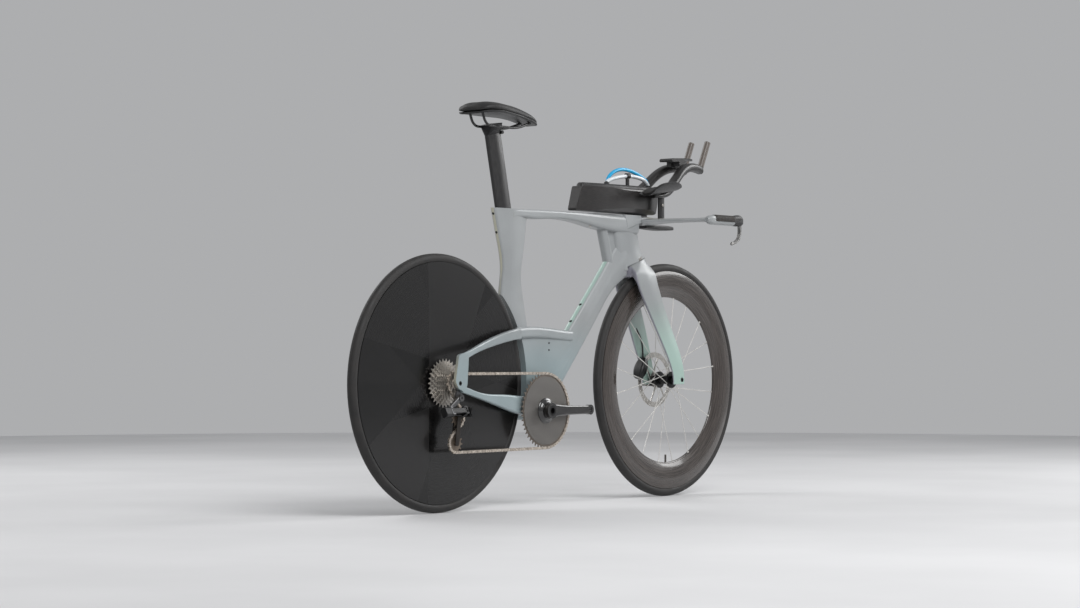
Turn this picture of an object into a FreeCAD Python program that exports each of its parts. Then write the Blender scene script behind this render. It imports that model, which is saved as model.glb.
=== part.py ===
import FreeCAD, Part
import math
import os

# A time trial bike in millimetres: +X forward, +Y to the rider's left, +Z up.
# The origin lies on the ground, half way between the two axles.

# Overall layout
WHEELBASE = 1011.0
CHAINSTAY = 398.0
BB_DROP = 78.0
HEAD_ANGLE = 72.5
FORK_RAKE = 43.0
SEAT_ANGLE = 77.4
TOP_TUBE_HEIGHT = 808.0
SADDLE_HEIGHT = 1087.0
CRANK_ANGLE = 0.0

# Clearances
OVERRUN = 30.0
RUN_GAP = 0.35
BEARING_GAP = 0.06
SEAT_GAP = 0.1
SEAM_GAP = 0.8
ROUND_share = 0.42
SOFT_ROUND_share = 0.3

# Wheels and tyres
RIM_RADIUS = 316.0
TYRE_HEIGHT = 22.0
TYRE_WIDTH = 26.0
RIM_DEPTH = 76.0
RIM_SEAT_WIDTH = 23.0
RIM_BULGE_WIDTH = 29.0
RIM_NOSE_WIDTH = 9.0
SPOKE_COUNT = 20
SPOKE_BLADE = 2.6
SPOKE_THICK = 1.1
SPOKE_BED_OFFSET = 2.0
SPOKE_LEAN = 62.0
SPOKE_TURN = 9.0
VALVE_RADIUS = 3.0
VALVE_LENGTH = 22.0
DISC_DRIVE_BULGE = 3.5
DISC_FAR_BULGE = 12.0
DISC_BORE = 16.0

# Hubs, axles and rotors
FRONT_DROPOUT_WIDTH = 100.0
REAR_DROPOUT_WIDTH = 142.0
AXLE_RADIUS = 6.0
AXLE_HEAD_LENGTH = 3.0
HUB_BODY_RADIUS = 13.0
HUB_FLANGE_RADIUS = 24.0
HUB_FLANGE_WIDTH = 5.0
FRONT_FLANGE_OFFSET = 24.0
HUB_BEARING_RADIUS = 11.0
HUB_BEARING_WIDTH = 7.0
ROTOR_THICK = 1.8
FRONT_ROTOR_RADIUS = 80.0
REAR_ROTOR_RADIUS = 70.0
ROTOR_BAND = 15.0
ROTOR_HUB_RADIUS = 22.0
ROTOR_ARM_WIDTH = 7.0
ROTOR_ARMS = 6
ROTOR_HOLES = 30
ROTOR_HOLE_RADIUS = 2.2
FRONT_ROTOR_INSET = 10.5
REAR_ROTOR_INSET = 15.3

# Frame tubes
SEAT_TUBE_DEPTH = 100.0
SEAT_TUBE_WIDTH = 36.0
TOP_TUBE_WIDTH = 56.0
TOP_TUBE_DEPTH = 50.0
DOWN_TUBE_ANGLE = 47.2
DOWN_TUBE_DEPTH = 78.0
DOWN_TUBE_WIDTH = 48.0
HEAD_TUBE_LENGTH = 103.0
HEAD_DEPTH = 140.0
HEAD_WIDTH = 50.0
FIN_WIDTH = 34.0
WEB_WIDTH = 18.0
PANEL_WIDTH = 38.0
BELT_WIDTH = 66.0
BELT_DEPTH = 34.0
BELT_HEIGHT = 468.0
SEATSTAY_DEPTH = 28.0
CHAINSTAY_DEPTH = 50.0
STAY_THICK = 20.0
DROPOUT_THICK = 8.0
DROPOUT_HEIGHT = 85.0
WHEEL_SLOT_WIDTH = 39.0
WHEEL_CLEARANCE = 7.0
BB_SHELL_RADIUS = 27.0
BB_SHELL_WIDTH = 86.0
BOSS_SPACING = 64.0
BOSS_PLACE = 329.0
BOSS_RADIUS = 4.5
BOSS_LENGTH = 12.0
BOSS_THREAD_RADIUS = 2.2
CLAMP_BOLT_RADIUS = 3.6
CLAMP_BOLT_LENGTH = 10.0
CLAMP_BOLT_SPACING = 50.0
CLAMP_BOLT_DROP = 18.0

# Fork and headset
CROWN_TO_AXLE = 373.0
CROWN_CHORD = 88.0
CROWN_WIDTH = 54.0
FORK_CHORD = 92.0
FORK_TIP_THICK = 11.0
FRONT_CALIPER_ANGLE = 153.0
FORK_BLADE_THICK = 20.0
FORK_ARCH_CLEARANCE = 9.0
FORK_ARCH_WIDTH = 44.0
FORK_TIP_DROP = 13.0
STEERER_RADIUS = 14.3
LOWER_STEERER_RADIUS = 18.0
UPPER_BEARING_RADIUS = 20.5
LOWER_BEARING_RADIUS = 25.0
HEADSET_BEARING_HEIGHT = 7.0
STEM_HUB_RADIUS = 45.0
STEERER_PROUD = 18.0

# Base bar and cockpit
BAR_HALF_WIDTH = 200.0
BAR_DROP = 12.0
BAR_HEIGHT = TOP_TUBE_HEIGHT - BAR_DROP
BAR_ROOT_CHORD = 90.0
BAR_ROOT_THICK = 24.0
BAR_SWEEP = 68.0
HORN_AXIS_REACH = 141.5
HORN_REAR = 114.5
HORN_LENGTH = 126.0
HORN_WIDTH = 24.0
HORN_DEPTH = 27.0
GRIP_THICK = 2.2
LEVER_HOUSING_LENGTH = 46.0
LEVER_HOUSING_WIDTH = 22.0
LEVER_HOUSING_DEPTH = 32.0
LEVER_REACH = 66.0
LEVER_BOSS_RADIUS = 8.0
LEVER_TIP_RADIUS = 5.5
LEVER_WIDTH = 10.0
LEVER_PIN_RADIUS = 2.5
RISER_SPACING = 114.0
RISER_CHORD = 26.0
RISER_WIDTH = 13.0
RISER_RISE = 72.0
RISER_REACH = 90.5
CUP_LENGTH = 138.0
CUP_RADIUS = 52.0
CUP_WALL = 4.0
CUP_SPACING = 154.0
CUP_TILT = 9.0
CUP_INNER_ANGLE = -36.0
CUP_OUTER_ANGLE = 66.0
CUP_REAR = -13.5
CUP_RISE = 65.0
PAD_THICK = 12.0
EXTENSION_WIDTH = 34.0
TIP_SPACING = 58.0
TIP_RADIUS = 9.0
TIP_LENGTH = 92.0
TIP_FOOT_REACH = 323.5
TIP_FOOT_RISE = 161.0
TIP_ANGLE = 64.0
BUTTON_RADIUS = 4.5
BUTTON_STROKE = 1.2
BUTTON_PROUD = 2.0
BUTTON_LENGTH = 8.0
PLATE_LENGTH = 102.0
PLATE_REACH = 192.5
PLATE_RISE = 182.0
PLATE_FOOT_DROP = 16.0
PLATE_WIDTH = 46.0
PLATE_THICK = 7.0
COVER_LENGTH = 132.0
COVER_REACH = 74.5
COVER_DROP = 17.0
COVER_WIDTH = 44.0
COVER_THICK = 11.0

# Hydration box
BOX_LENGTH = 360.0
BOX_HEIGHT = 70.0
BOX_WIDTH = 78.0
BOX_GAP = 4.0
BOX_FOOT_REACH = 16.5
BOX_FOOT_LENGTH = 60.0
BOX_FOOT_WIDTH = 34.0
BOX_WALL = 2.5
LID_THICK = 10.0
BOX_REAR = -255.5
HOSE_DIAMETER = 10.5
REFILL_DIAMETER = 11.0
PORT_RADIUS = 7.5
HOSE_CLIP_INDEX = 3

# Drive
PITCH = 12.7
CHAINRING_TEETH = 50
PULLEY_TEETH = 12
SPROCKET_TEETH = (10, 11, 12, 13, 14, 15, 17, 19, 21, 24, 27, 30)
ENGAGED_SPROCKET = 2
SPROCKET_PITCH = 3.65
SPROCKET_THICK = 1.2
SPROCKET_END_GAP = 6.5
FREEHUB_RADIUS = 12.0
DRILLED_TEETH = 17
ROLLER_RADIUS = 3.9
TOOTH_ROOT_DEPTH = 4.1
TOOTH_TIP_HEIGHT = 3.2
TOOTH_ROOT_HALF_GAP = 2.7
TOOTH_TIP_HALF = 0.85
CHAIN_INNER_GAP = 2.6
CHAIN_PLATE = 0.6
CHAIN_PLATE_HEIGHT = 8.2
CHAIN_PIN_RADIUS = 1.7
CHAIN_PIN_PROUD = 0.1
CHAINLINE = 48.0
CRANK_LENGTH = 170.0
CRANK_BOSS_RADIUS = 21.0
CRANK_END_RADIUS = 14.0
CRANK_INNER_FACE = 60.0
CRANK_THICK = 14.0
SPINDLE_RADIUS = 14.5
CUP_RING_RADIUS = 21.0
CUP_RING_WIDTH = 9.0
PEDAL_THREAD_RADIUS = 7.0
CHAINRING_DISC_THICK = 3.2
CHAINRING_DISC_RADIUS = 93.0

# Derailleur
HANGER_FORWARD = 2.0
HANGER_DROP = 38.0
HANGER_THICK = 4.5
HANGER_BOLT_RADIUS = 5.0
CAGE_PIVOT_FORWARD = 36.0
CAGE_PIVOT_DROP = 75.0
GUIDE_PULLEY_ARM = 26.0
GUIDE_PULLEY_ANGLE = 210.0
PULLEY_SPREAD = 67.0
PULLEY_SPREAD_ANGLE = -99.0
CAGE_SEARCH = 12.0
SEARCH_STEPS = 60
LINK_LENGTH = 46.0
LINK_FORWARD = 16.0
LINK_SIDE = 82.0
LINK_DROP = 70.0
LINK_WIDTH = 15.0
LINK_RADIUS = 3.4
LINK_WEB_share = 1.4
LINK_PIN_RADIUS = 1.6
LINK_OFFSET = 13.0
EAR_THICK = 3.0
EAR_MARGIN = 0.8
KNUCKLE_BOSS_RADIUS = 9.0
KNUCKLE_BOSS_LENGTH = 12.0
HOUSING_RADIUS = 13.0
HOUSING_LENGTH = 24.0
CAGE_SHAFT_RADIUS = 5.0
CAGE_SHAFT_LENGTH = 14.0
CAGE_PLATE = 2.0
CAGE_WIDTH = 15.0
CAGE_GAP = 11.0
PULLEY_THICK = 1.6
PULLEY_BOLT_RADIUS = 2.5
PULLEY_HUB_RADIUS = 7.0
BATTERY_LENGTH = 24.0
BATTERY_HEIGHT = 26.0

# Brakes
REAR_CALIPER_ANGLE = 8.0
CALIPER_LENGTH = 62.0
CALIPER_WIDTH = 34.0
CALIPER_DEPTH = 26.0
CALIPER_SLOT = 5.0
BRAKE_PAD_THICK = 1.2
BRAKE_PAD_LENGTH = 26.0
BRAKE_HOSE_DIAMETER = 5.0

# Seat
POST_CHORD = 60.0
POST_WIDTH = 22.0
POST_INSERTION = 138.0
SOCKET_DEPTH = 165.0
POST_TOP_DROP = 84.0
POST_TOP = SADDLE_HEIGHT - POST_TOP_DROP
RAIL_RADIUS = 3.5
RAIL_SPACING = 44.0
RAIL_DROP = 65.0
RAIL_HEIGHT = SADDLE_HEIGHT - RAIL_DROP
SADDLE_LENGTH = 258.0
SADDLE_WIDTH = 132.0
SADDLE_SETBACK = 73.43
SADDLE_PAD_THICK = 26.0
SADDLE_SHELL_THICK = 5.0
SADDLE_NOSE_DROP = 30.0
GROOVE_WIDTH = 16.0

# Shares of the tubes' sizes, station by station
# Seat tube: height from the bottom bracket to the top tube, rear and front reach, width
SEAT_TUBE_shares = (
    (0.310, -0.60, 0.20, 0.90),
    (0.375, -0.72, 0.25, 0.95),
    (0.438, -0.80, 0.25, 0.92),
    (0.511, -0.76, 0.25, 0.88),
    (0.571, -0.68, 0.25, 0.85),
    (0.628, -0.57, 0.26, 0.84),
    (0.693, -0.45, 0.34, 0.84),
    (0.766, -0.40, 0.50, 0.86),
    (0.874, -0.43, 0.73, 0.92),
    (0.956, -0.45, 0.90, 0.97),
    (0.996, -0.46, 1.02, 1.00),
)
# Top tube: place from seat axis to steering axis, top and bottom drop, width
TOP_TUBE_shares = (
    (0.05, 0.03, 0.62, 0.58),
    (0.20, 0.02, 0.52, 0.66),
    (0.36, 0.01, 0.45, 0.76),
    (0.60, 0.00, 0.60, 0.86),
    (0.71, -0.02, 0.80, 0.90),
    (0.83, -0.03, 0.95, 0.95),
    (0.96, -0.03, 1.06, 1.00),
    (1.05, -0.03, 1.10, 1.00),
)
# Down tube: place along its length, upper and lower reach, width
DOWN_TUBE_shares = (
    (0.03, -0.44, 0.44, 0.84),
    (0.23, -0.50, 0.52, 0.92),
    (0.50, -0.505, 0.47, 0.96),
    (0.68, -0.505, 0.42, 0.96),
    (0.85, -0.51, 0.50, 1.00),
    (0.93, -0.53, 0.68, 1.02),
    (1.00, -0.55, 0.76, 1.02),
)
DOWN_TUBE_LENGTH = 600.0
# Head housing and fin: height, rear reach, front reach
HOUSING_shares = (
    (-0.30, -0.66, 0.34, 1.04),
    (0.05, -0.66, 0.31, 1.02),
    (0.25, -0.65, 0.24, 1.00),
    (0.60, -0.63, 0.21, 1.00),
    (1.05, -0.62, 0.205, 1.00),
    (1.30, -0.62, 0.205, 1.00),
)
FIN_FRONT_share = -0.83
# Belt: place from rear axle forward as a share of the wheelbase, height shift, depth, width
BELT_shares = (
    (0.291, 0.02, 0.90, 1.00),
    (0.350, 0.13, 0.90, 0.90),
    (0.425, 0.08, 0.88, 0.82),
    (0.490, -0.06, 0.86, 0.76),
    (0.540, -0.15, 0.84, 0.70),
)
# Stays: share of chainstay forward of the axle, height as a share of wheel radius, depth, side, thickness
SEATSTAY_shares = (
    (0.020, 0.195, 0.72, 0.528, 0.40),
    (0.115, 0.230, 0.62, 0.507, 0.45),
    (0.247, 0.268, 0.66, 0.400, 0.62),
    (0.503, 0.340, 0.92, 0.300, 0.75),
    (0.765, 0.382, 1.05, 0.188, 0.88),
)
CHAINSTAY_shares = (
    (0.025, -0.046, 0.34, 0.528, 0.40),
    (0.080, -0.060, 0.35, 0.514, 0.45),
    (0.236, -0.098, 0.34, 0.430, 0.60),
    (0.415, -0.130, 0.52, 0.340, 0.75),
    (0.716, -0.178, 0.95, 0.215, 0.95),
    (0.860, -0.186, 1.00, 0.190, 0.95),
)
# Dropout outline as shares of its height, from the axle
DROPOUT_shares = (
    (-0.06, 0.86),
    (0.16, 0.92),
    (0.40, 0.84),
    (0.33, -0.06),
    (0.22, -0.28),
    (-0.08, -0.16),
    (-0.22, 0.05),
)
# Panel outline between the tubes as shares of the chainstay, from the bottom bracket
PANEL_shares = (
    (-0.26, 0.53),
    (0.36, 0.53),
    (0.36, 0.34),
    (0.08, -0.055),
    (-0.24, -0.014),
)
# Fork blade: height from tip to crown, forward place, chord, side place, thickness
BLADE_shares = (
    (0.000, 0.075, 0.56, 0.555, 0.55),
    (0.060, 0.075, 0.58, 0.555, 0.55),
    (0.126, 0.112, 0.62, 0.552, 0.62),
    (0.360, 0.373, 0.76, 0.500, 0.90),
    (0.669, 0.768, 0.93, 0.420, 1.05),
    (0.900, 0.960, 1.00, 0.355, 1.10),
)
# Tail, nose and shoulder of a section as shares of its width and chord
SEAT_SECTION_shares = (0.50, 0.50, 0.55)
DOWN_SECTION_shares = (0.40, 0.55, 0.38)
HOUSING_SECTION_shares = (0.72, 0.45, 0.62)
FIN_SECTION_shares = (0.55, 0.80, 0.60)
POST_SECTION_shares = (0.50, 0.45, 0.60)
RISER_SECTION_shares = (0.45, 0.50, 0.50)
CLAMP_SECTION_shares = (0.80, 0.80, 0.50)
BLADE_SECTION_shares = (0.40, 0.55, 0.55)
CROWN_SECTION_shares = (0.50, 0.50, 0.55)
WING_SECTION_shares = (0.30, 0.55, 0.66)
CROWN_REAR_share = 0.52
CROWN_CUT_share = 0.74
# Crown below its top: height, forward place, chord, width
CROWN_shares = (
    (0.930, 0.985, 1.05, 1.45),
    (0.860, 0.930, 1.04, 1.72),
)
# Wing: side place, forward place, chord, thickness, rise
WING_shares = (
    (0.00, -1.00, 1.00, 1.00, -0.08),
    (0.14, -0.98, 0.98, 0.95, -0.08),
    (0.30, -0.86, 0.80, 0.72, -0.04),
    (0.55, -0.60, 0.64, 0.60, 0.00),
    (0.80, -0.26, 0.54, 0.56, 0.04),
    (0.90, -0.12, 0.52, 0.64, 0.04),
    (0.99, 0.00, 0.58, 0.98, 0.02),
)
# Stem from the steering axis forward: place, drop, depth, width
STEM_shares = (
    (0.00, 0.30, 0.56, 1.00),
    (0.45, 0.30, 0.54, 1.02),
    (0.95, 0.27, 0.46, 0.92),
    (1.32, 0.25, 0.34, 0.60),
)
# Horn: place, width, depth
HORN_shares = (
    (0.00, 0.50, 0.42),
    (0.05, 0.78, 0.70),
    (0.11, 0.94, 0.90),
    (0.20, 1.00, 1.00),
)
GRIP_shares = (
    (0.24, 0.40),
    (0.32, 1.00),
    (0.995, 1.00),
)
GRIP_SKIRT_share = 0.12
# Lever housing: place, width, depth, rise
LEVER_HOUSING_shares = (
    (0.02, 1.06, 0.88, 0.02),
    (0.40, 1.10, 1.00, 0.06),
    (0.80, 1.04, 0.96, 0.06),
    (1.00, 0.80, 0.74, 0.04),
)
LEVER_PIVOT_share = 0.68
# Lever blade outline from its pivot
LEVER_shares = (
    (0.09, 0.06),
    (0.17, -0.14),
    (0.17, -0.50),
    (0.05, -0.80),
    (-0.20, -0.96),
    (-0.44, -1.03),
    (-0.46, -0.95),
    (-0.22, -0.87),
    (0.00, -0.73),
    (0.09, -0.48),
    (0.08, -0.20),
    (-0.11, -0.03),
)
LEVER_TIP_share = (-0.46, -0.98)
RISER_BOLT_share = 0.62
BOLT_KEY_share = 0.5
BOLT_KEY_DEPTH_share = 0.4
LEVER_PIN_share = 0.46
TIP_HEEL_share = 1.25
ARM_ROOM_share = 0.8
BEND_share = 0.45
# Cup and pad: place along, inner and outer edge, thickness of the pad
CUP_shares = (
    (0.00, 0.72, 0.66, 0.50),
    (0.12, 0.92, 0.88, 0.85),
    (0.45, 1.00, 1.00, 1.00),
    (0.80, 0.94, 0.84, 0.90),
    (1.00, 0.78, 0.52, 0.55),
)
PAD_LENGTH_share = 0.90
PLATE_FOOT_share = 0.36
PLATE_shares = (
    (0.00, 0.10),
    (0.04, 0.90),
    (0.70, 1.45),
    (1.00, 1.30),
    (1.00, 0.45),
    (0.70, 0.00),
    (0.03, -0.50),
)
COVER_shares = (
    (0.00, 0.80, 0.70),
    (0.35, 1.00, 1.10),
    (0.80, 0.96, 1.20),
    (1.00, 0.80, 0.90),
)
BOX_SIDE_shares = (
    (0.000, 0.00),
    (0.075, 1.00),
    (1.055, 1.00),
    (1.030, 0.50),
    (0.985, 0.00),
)
BOX_END_shares = (
    (-0.34, 0.00),
    (-0.54, 0.24),
    (-0.54, 0.84),
    (-0.44, 1.02),
    (0.44, 1.02),
    (0.54, 0.84),
    (0.54, 0.24),
    (0.34, 0.00),
)
BOX_PLAN_shares = (
    (-0.01, -0.16),
    (0.26, -0.40),
    (0.56, -0.50),
    (0.92, -0.50),
    (1.06, -0.30),
    (1.06, 0.30),
    (0.92, 0.50),
    (0.56, 0.50),
    (0.26, 0.40),
    (-0.01, 0.16),
)
# Lid: rise, rear and front end along the box, share of its width
LID_shares = (
    (0.00, 0.095, 1.048, 0.92),
    (0.55, 0.100, 1.044, 0.88),
    (1.00, 0.115, 1.030, 0.70),
)
# Caliper: place along it, depth, width
CALIPER_shares = (
    (-0.50, 0.62, 0.60),
    (-0.25, 0.95, 0.95),
    (0.25, 1.00, 1.00),
    (0.50, 0.68, 0.70),
)
# Wheels and drive
RIM_BULGE_share = 0.38
ROTOR_ARM_share = 0.70
ROTOR_HOLE_shares = (0.68, 0.30)
DISC_DRIVE_shares = (0.40, 0.80)
DISC_FAR_shares = (0.45, 0.62)
PLATE_WAIST_share = 0.74
SPROCKET_HOLE_share = 0.28
SPROCKET_HOLE_STEP_share = 2.9
SPROCKET_HOLE_PLACE_share = 0.56
SPINDLE_KEY_shares = (0.85, 0.60)
# Crank arm: place along it, height, thickness
CRANK_shares = (
    (0.04, 1.75, 1.00),
    (0.30, 1.35, 0.98),
    (0.72, 1.16, 0.90),
    (0.99, 1.10, 0.86),
)
KNUCKLE_DEPTH_shares = (1.7, 1.1)
KNUCKLE_ARM_share = 0.8
HOUSING_CAP_share = 0.72
CAGE_EYE_share = 0.8
HANGER_shares = (
    (-0.14, -0.47),
    (0.46, -0.47),
    (0.42, -0.98),
    (0.14, -1.26),
    (-0.20, -1.02),
)
TRAVEL_shares = (0.05, 0.87, -0.49)
BARREL_share = 1.4
# Saddle: place from rear, width, drop of the top, thickness of the pad
SADDLE_shares = (
    (0.00, 0.50, 0.62, 0.50),
    (0.06, 0.84, 0.20, 0.85),
    (0.20, 1.00, 0.06, 0.95),
    (0.40, 0.86, 0.12, 0.95),
    (0.60, 0.62, 0.22, 0.90),
    (0.80, 0.50, 0.52, 0.80),
    (0.94, 0.44, 0.90, 0.66),
    (1.00, 0.32, 1.20, 0.42),
)
SADDLE_SHOULDER_share = 0.55
SADDLE_CROWN_share = 0.5
GROOVE_DEPTH_share = 0.7
SHELL_WIDTH_share = 0.94
CLAMP_MIDDLE_share = 0.45
CLAMP_CHORD_shares = (0.42, 0.36)
# Rail: place from saddle's rear, side, height
RAIL_shares = (
    (0.08, 1.00, 1.35),
    (0.15, 1.00, 0.00),
    (0.66, 1.00, 0.00),
    (0.92, 0.70, 0.70),
)
# Swept paths: forward of the rear axle, side, height, and for the extension its width and depth
EXTENSION_STATIONS = (
    (36.5, 64.0, 68.0, 26.0, 10.0),
    (90.5, 60.0, 74.0, 34.0, 16.0),
    (136.5, 52.0, 93.0, 34.0, 26.0),
    (188.5, 44.0, 131.0, 32.0, 28.0),
    (240.5, 36.0, 159.0, 32.0, 26.0),
    (283.5, 31.0, 165.0, 34.0, 24.0),
    (324.5, 29.0, 159.0, 26.0, 22.0),
)
DRINK_HOSE_PATH = (
    (-86.5, 5.0, 15.5),
    (-80.5, 5.0, 30.5),
    (-57.5, 5.0, 47.5),
    (-23.5, 5.0, 57.5),
    (12.5, 5.0, 57.5),
    (50.5, 5.0, 50.5),
    (84.5, 5.0, 39.5),
    (106.5, 5.0, 27.5),
    (113.5, 5.0, 12.5),
)
REFILL_HOSE_PATH = (
    (-104.5, -9.0, 15.5),
    (-92.5, -9.0, 23.5),
    (-51.5, -9.0, 32.5),
    (-6.5, -9.0, 38.5),
    (39.5, -9.0, 37.5),
    (80.5, -9.0, 29.5),
    (92.5, -9.0, 15.5),
)
BRAKE_HOSE_PATH = (
    (916.0, 46.0, 503.0),
    (927.0, 40.0, 483.0),
    (940.0, 35.0, 456.0),
    (948.0, 35.0, 430.0),
    (951.0, 37.0, 402.0),
)


def vec(x, y, z):
    return FreeCAD.Vector(x, y, z)


ORIGIN = vec(0, 0, 0)
X = vec(1, 0, 0)
Y = vec(0, 1, 0)
Z = vec(0, 0, 1)

WHEEL_RADIUS = RIM_RADIUS + TYRE_HEIGHT
REAR_AXLE = vec(-WHEELBASE / 2, 0, WHEEL_RADIUS)
FRONT_AXLE = vec(WHEELBASE / 2, 0, WHEEL_RADIUS)
BB = REAR_AXLE + vec(math.sqrt(CHAINSTAY**2 - BB_DROP**2), 0, -BB_DROP)
STEER_UP = vec(-math.cos(math.radians(HEAD_ANGLE)), 0, math.sin(math.radians(HEAD_ANGLE)))
STEER_FORE = vec(math.sin(math.radians(HEAD_ANGLE)), 0, math.cos(math.radians(HEAD_ANGLE)))
STEER_FOOT = FRONT_AXLE - STEER_FORE * FORK_RAKE
SEAT_FORE = vec(math.sin(math.radians(SEAT_ANGLE)), 0, math.cos(math.radians(SEAT_ANGLE)))
DOWN_ALONG = vec(math.cos(math.radians(DOWN_TUBE_ANGLE)), 0, math.sin(math.radians(DOWN_TUBE_ANGLE)))
DOWN_NORMAL = vec(DOWN_ALONG.z, 0, -DOWN_ALONG.x)
CROWN_TOP = CROWN_TO_AXLE
STEM_SEAT = CROWN_TO_AXLE + HEAD_TUBE_LENGTH


def bike(x, y, z):
    """A point measured forward from the rear axle, on the ground's height."""
    return vec(REAR_AXLE.x + x, y, z)


def steer(along, fore, side=0):
    """A point in the steering frame: up the axis, forward of it and to the left."""
    return STEER_FOOT + STEER_UP * along + STEER_FORE * fore + Y * side


def ahead(x, y, z):
    """A point measured forward from the steering axis at the bar's height."""
    return vec(steer_axis_x(BAR_HEIGHT) + x, y, z)


def steer_axis_x(z):
    return STEER_FOOT.x - (z - STEER_FOOT.z) / math.tan(math.radians(HEAD_ANGLE))


def seat_axis_x(z):
    return BB.x - (z - BB.z) / math.tan(math.radians(SEAT_ANGLE))


def unit(v):
    return v * (1 / v.Length)


def between(low, high, share):
    return low + (high - low) * share


def rounded_wire(points, share):
    """A closed wire through points, each corner rounded by a share of its shorter side."""
    edges = []
    starts = []
    ends = []
    for i, corner in enumerate(points):
        back = points[i - 1] - corner
        ahead = points[(i + 1) % len(points)] - corner
        reach = share * min(back.Length, ahead.Length)
        half = unit(back).getAngle(unit(ahead)) / 2
        bisector = unit(unit(back) + unit(ahead))
        radius = reach * math.tan(half)
        middle = corner + bisector * (reach / math.cos(half) - radius)
        starts.append(corner + unit(back) * reach)
        ends.append(corner + unit(ahead) * reach)
        edges.append(Part.Arc(starts[i], middle, ends[i]).toShape())
    closed = []
    for i, arc in enumerate(edges):
        closed.append(arc)
        closed.append(Part.LineSegment(ends[i], starts[(i + 1) % len(points)]).toShape())
    return Part.Wire(closed)


def tube_section(origin, chord, side, rear, front, width, tail_share, nose_share, shoulder_share):
    """A six-sided rounded section with a flat tail, widest at its shoulder."""
    shoulder = between(rear, front, shoulder_share)
    pairs = (
        (rear, -width * tail_share / 2),
        (shoulder, -width / 2),
        (front, -width * nose_share / 2),
        (front, width * nose_share / 2),
        (shoulder, width / 2),
        (rear, width * tail_share / 2),
    )
    return rounded_wire([origin + chord * u + side * v for u, v in pairs], ROUND_share)


def block_section(origin, up, side, height, width, share=SOFT_ROUND_share):
    """A four-sided rounded section centred on its origin."""
    pairs = ((-height, -width), (-height, width), (height, width), (height, -width))
    return rounded_wire([origin + up * (u / 2) + side * (v / 2) for u, v in pairs], share)


def loft(wires, ruled=False):
    return Part.makeLoft(wires, True, ruled)


def rod(start, end, radius):
    return Part.makeCylinder(radius, (end - start).Length, start, end - start)


def sleeve(start, end, radius, bore):
    return rod(start, end, radius).cut(rod(start, end, bore))


def prism(pairs, low, high, share=0, base=ORIGIN):
    """An outline in the XZ plane through base, drawn out from low to high along Y."""
    points = [base + vec(x, low, z) for x, z in pairs]
    wire = rounded_wire(points, share) if share else Part.makePolygon(points + points[:1])
    return Part.Face(wire).extrude(Y * (high - low))


def turned(pairs, centre, share=0):
    """A closed outline of radius and side, turned about the Y axis through centre."""
    points = [centre + vec(0, side, radius) for radius, side in pairs]
    wire = rounded_wire(points, share) if share else Part.makePolygon(points + points[:1])
    return Part.Face(wire).revolve(centre, Y, 360)


def mirrored(shape):
    return shape.mirror(ORIGIN, Y)


def both_sides(shape):
    return [shape, mirrored(shape)]


def fused(shapes):
    whole = shapes[0].multiFuse(shapes[1:])
    return whole.removeSplitter()


def turn(shape, centre, axis, degrees):
    copy = shape.copy()
    copy.rotate(centre, axis, degrees)
    return copy


def bent_path(points, run_share):
    """Straight runs joined by tangent arcs, with the radius of each arc."""
    edges = []
    radii = []
    last = points[0]
    for i in range(1, len(points) - 1):
        back = points[i - 1] - points[i]
        ahead = points[i + 1] - points[i]
        half = unit(back).getAngle(unit(ahead)) / 2
        reach = run_share * min(back.Length, ahead.Length)
        radius = reach * math.tan(half)
        bisector = unit(unit(back) + unit(ahead))
        middle = points[i] + bisector * (reach / math.cos(half) - radius)
        start = points[i] + unit(back) * reach
        end = points[i] + unit(ahead) * reach
        edges.append(Part.LineSegment(last, start).toShape())
        edges.append(Part.Arc(start, middle, end).toShape())
        radii.append(radius)
        last = end
    edges.append(Part.LineSegment(last, points[-1]).toShape())
    return Part.Wire(edges), radii


def bent_rod(points, radius, name):
    """A round bar along straight runs and tangent arcs."""
    path, radii = bent_path(points, BEND_share)
    circle = Part.Wire(Part.makeCircle(radius, points[0], unit(points[1] - points[0])))
    bar = path.makePipeShell([circle], True, False)
    ideal = math.pi * radius**2 * path.Length
    print(name, "length", round(path.Length, 1), "least radius", round(min(radii), 1))
    print(name, "radii", [round(r, 1) for r in radii], "volume over ideal", round(bar.Volume / ideal, 4))
    return bar


# Frame

def seat_tube():
    wires = []
    for height, rear, front, width in SEAT_TUBE_shares:
        z = between(BB.z, TOP_TUBE_HEIGHT, height)
        origin = vec(seat_axis_x(z), 0, z)
        wires.append(tube_section(origin, X, Y, rear * SEAT_TUBE_DEPTH, front * SEAT_TUBE_DEPTH,
                                  width * SEAT_TUBE_WIDTH, *SEAT_SECTION_shares))
    return loft(wires)


def top_tube():
    start = seat_axis_x(TOP_TUBE_HEIGHT)
    end = steer_axis_x(TOP_TUBE_HEIGHT)
    wires = []
    for place, top, bottom, width in TOP_TUBE_shares:
        high = TOP_TUBE_HEIGHT - top * TOP_TUBE_DEPTH
        low = TOP_TUBE_HEIGHT - bottom * TOP_TUBE_DEPTH
        origin = vec(between(start, end, place), 0, (high + low) / 2)
        wires.append(block_section(origin, Z, Y, high - low, width * TOP_TUBE_WIDTH, SOFT_ROUND_share))
    return loft(wires)


def down_tube():
    wires = []
    for place, upper, lower, width in DOWN_TUBE_shares:
        origin = BB + DOWN_ALONG * (place * DOWN_TUBE_LENGTH)
        wires.append(tube_section(origin, DOWN_NORMAL, Y, upper * DOWN_TUBE_DEPTH, lower * DOWN_TUBE_DEPTH,
                                  width * DOWN_TUBE_WIDTH, *DOWN_SECTION_shares))
    return loft(wires)


def head_level(share):
    return (steer(CROWN_TOP, 0) + STEER_UP * (share * HEAD_TUBE_LENGTH)).z


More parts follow.
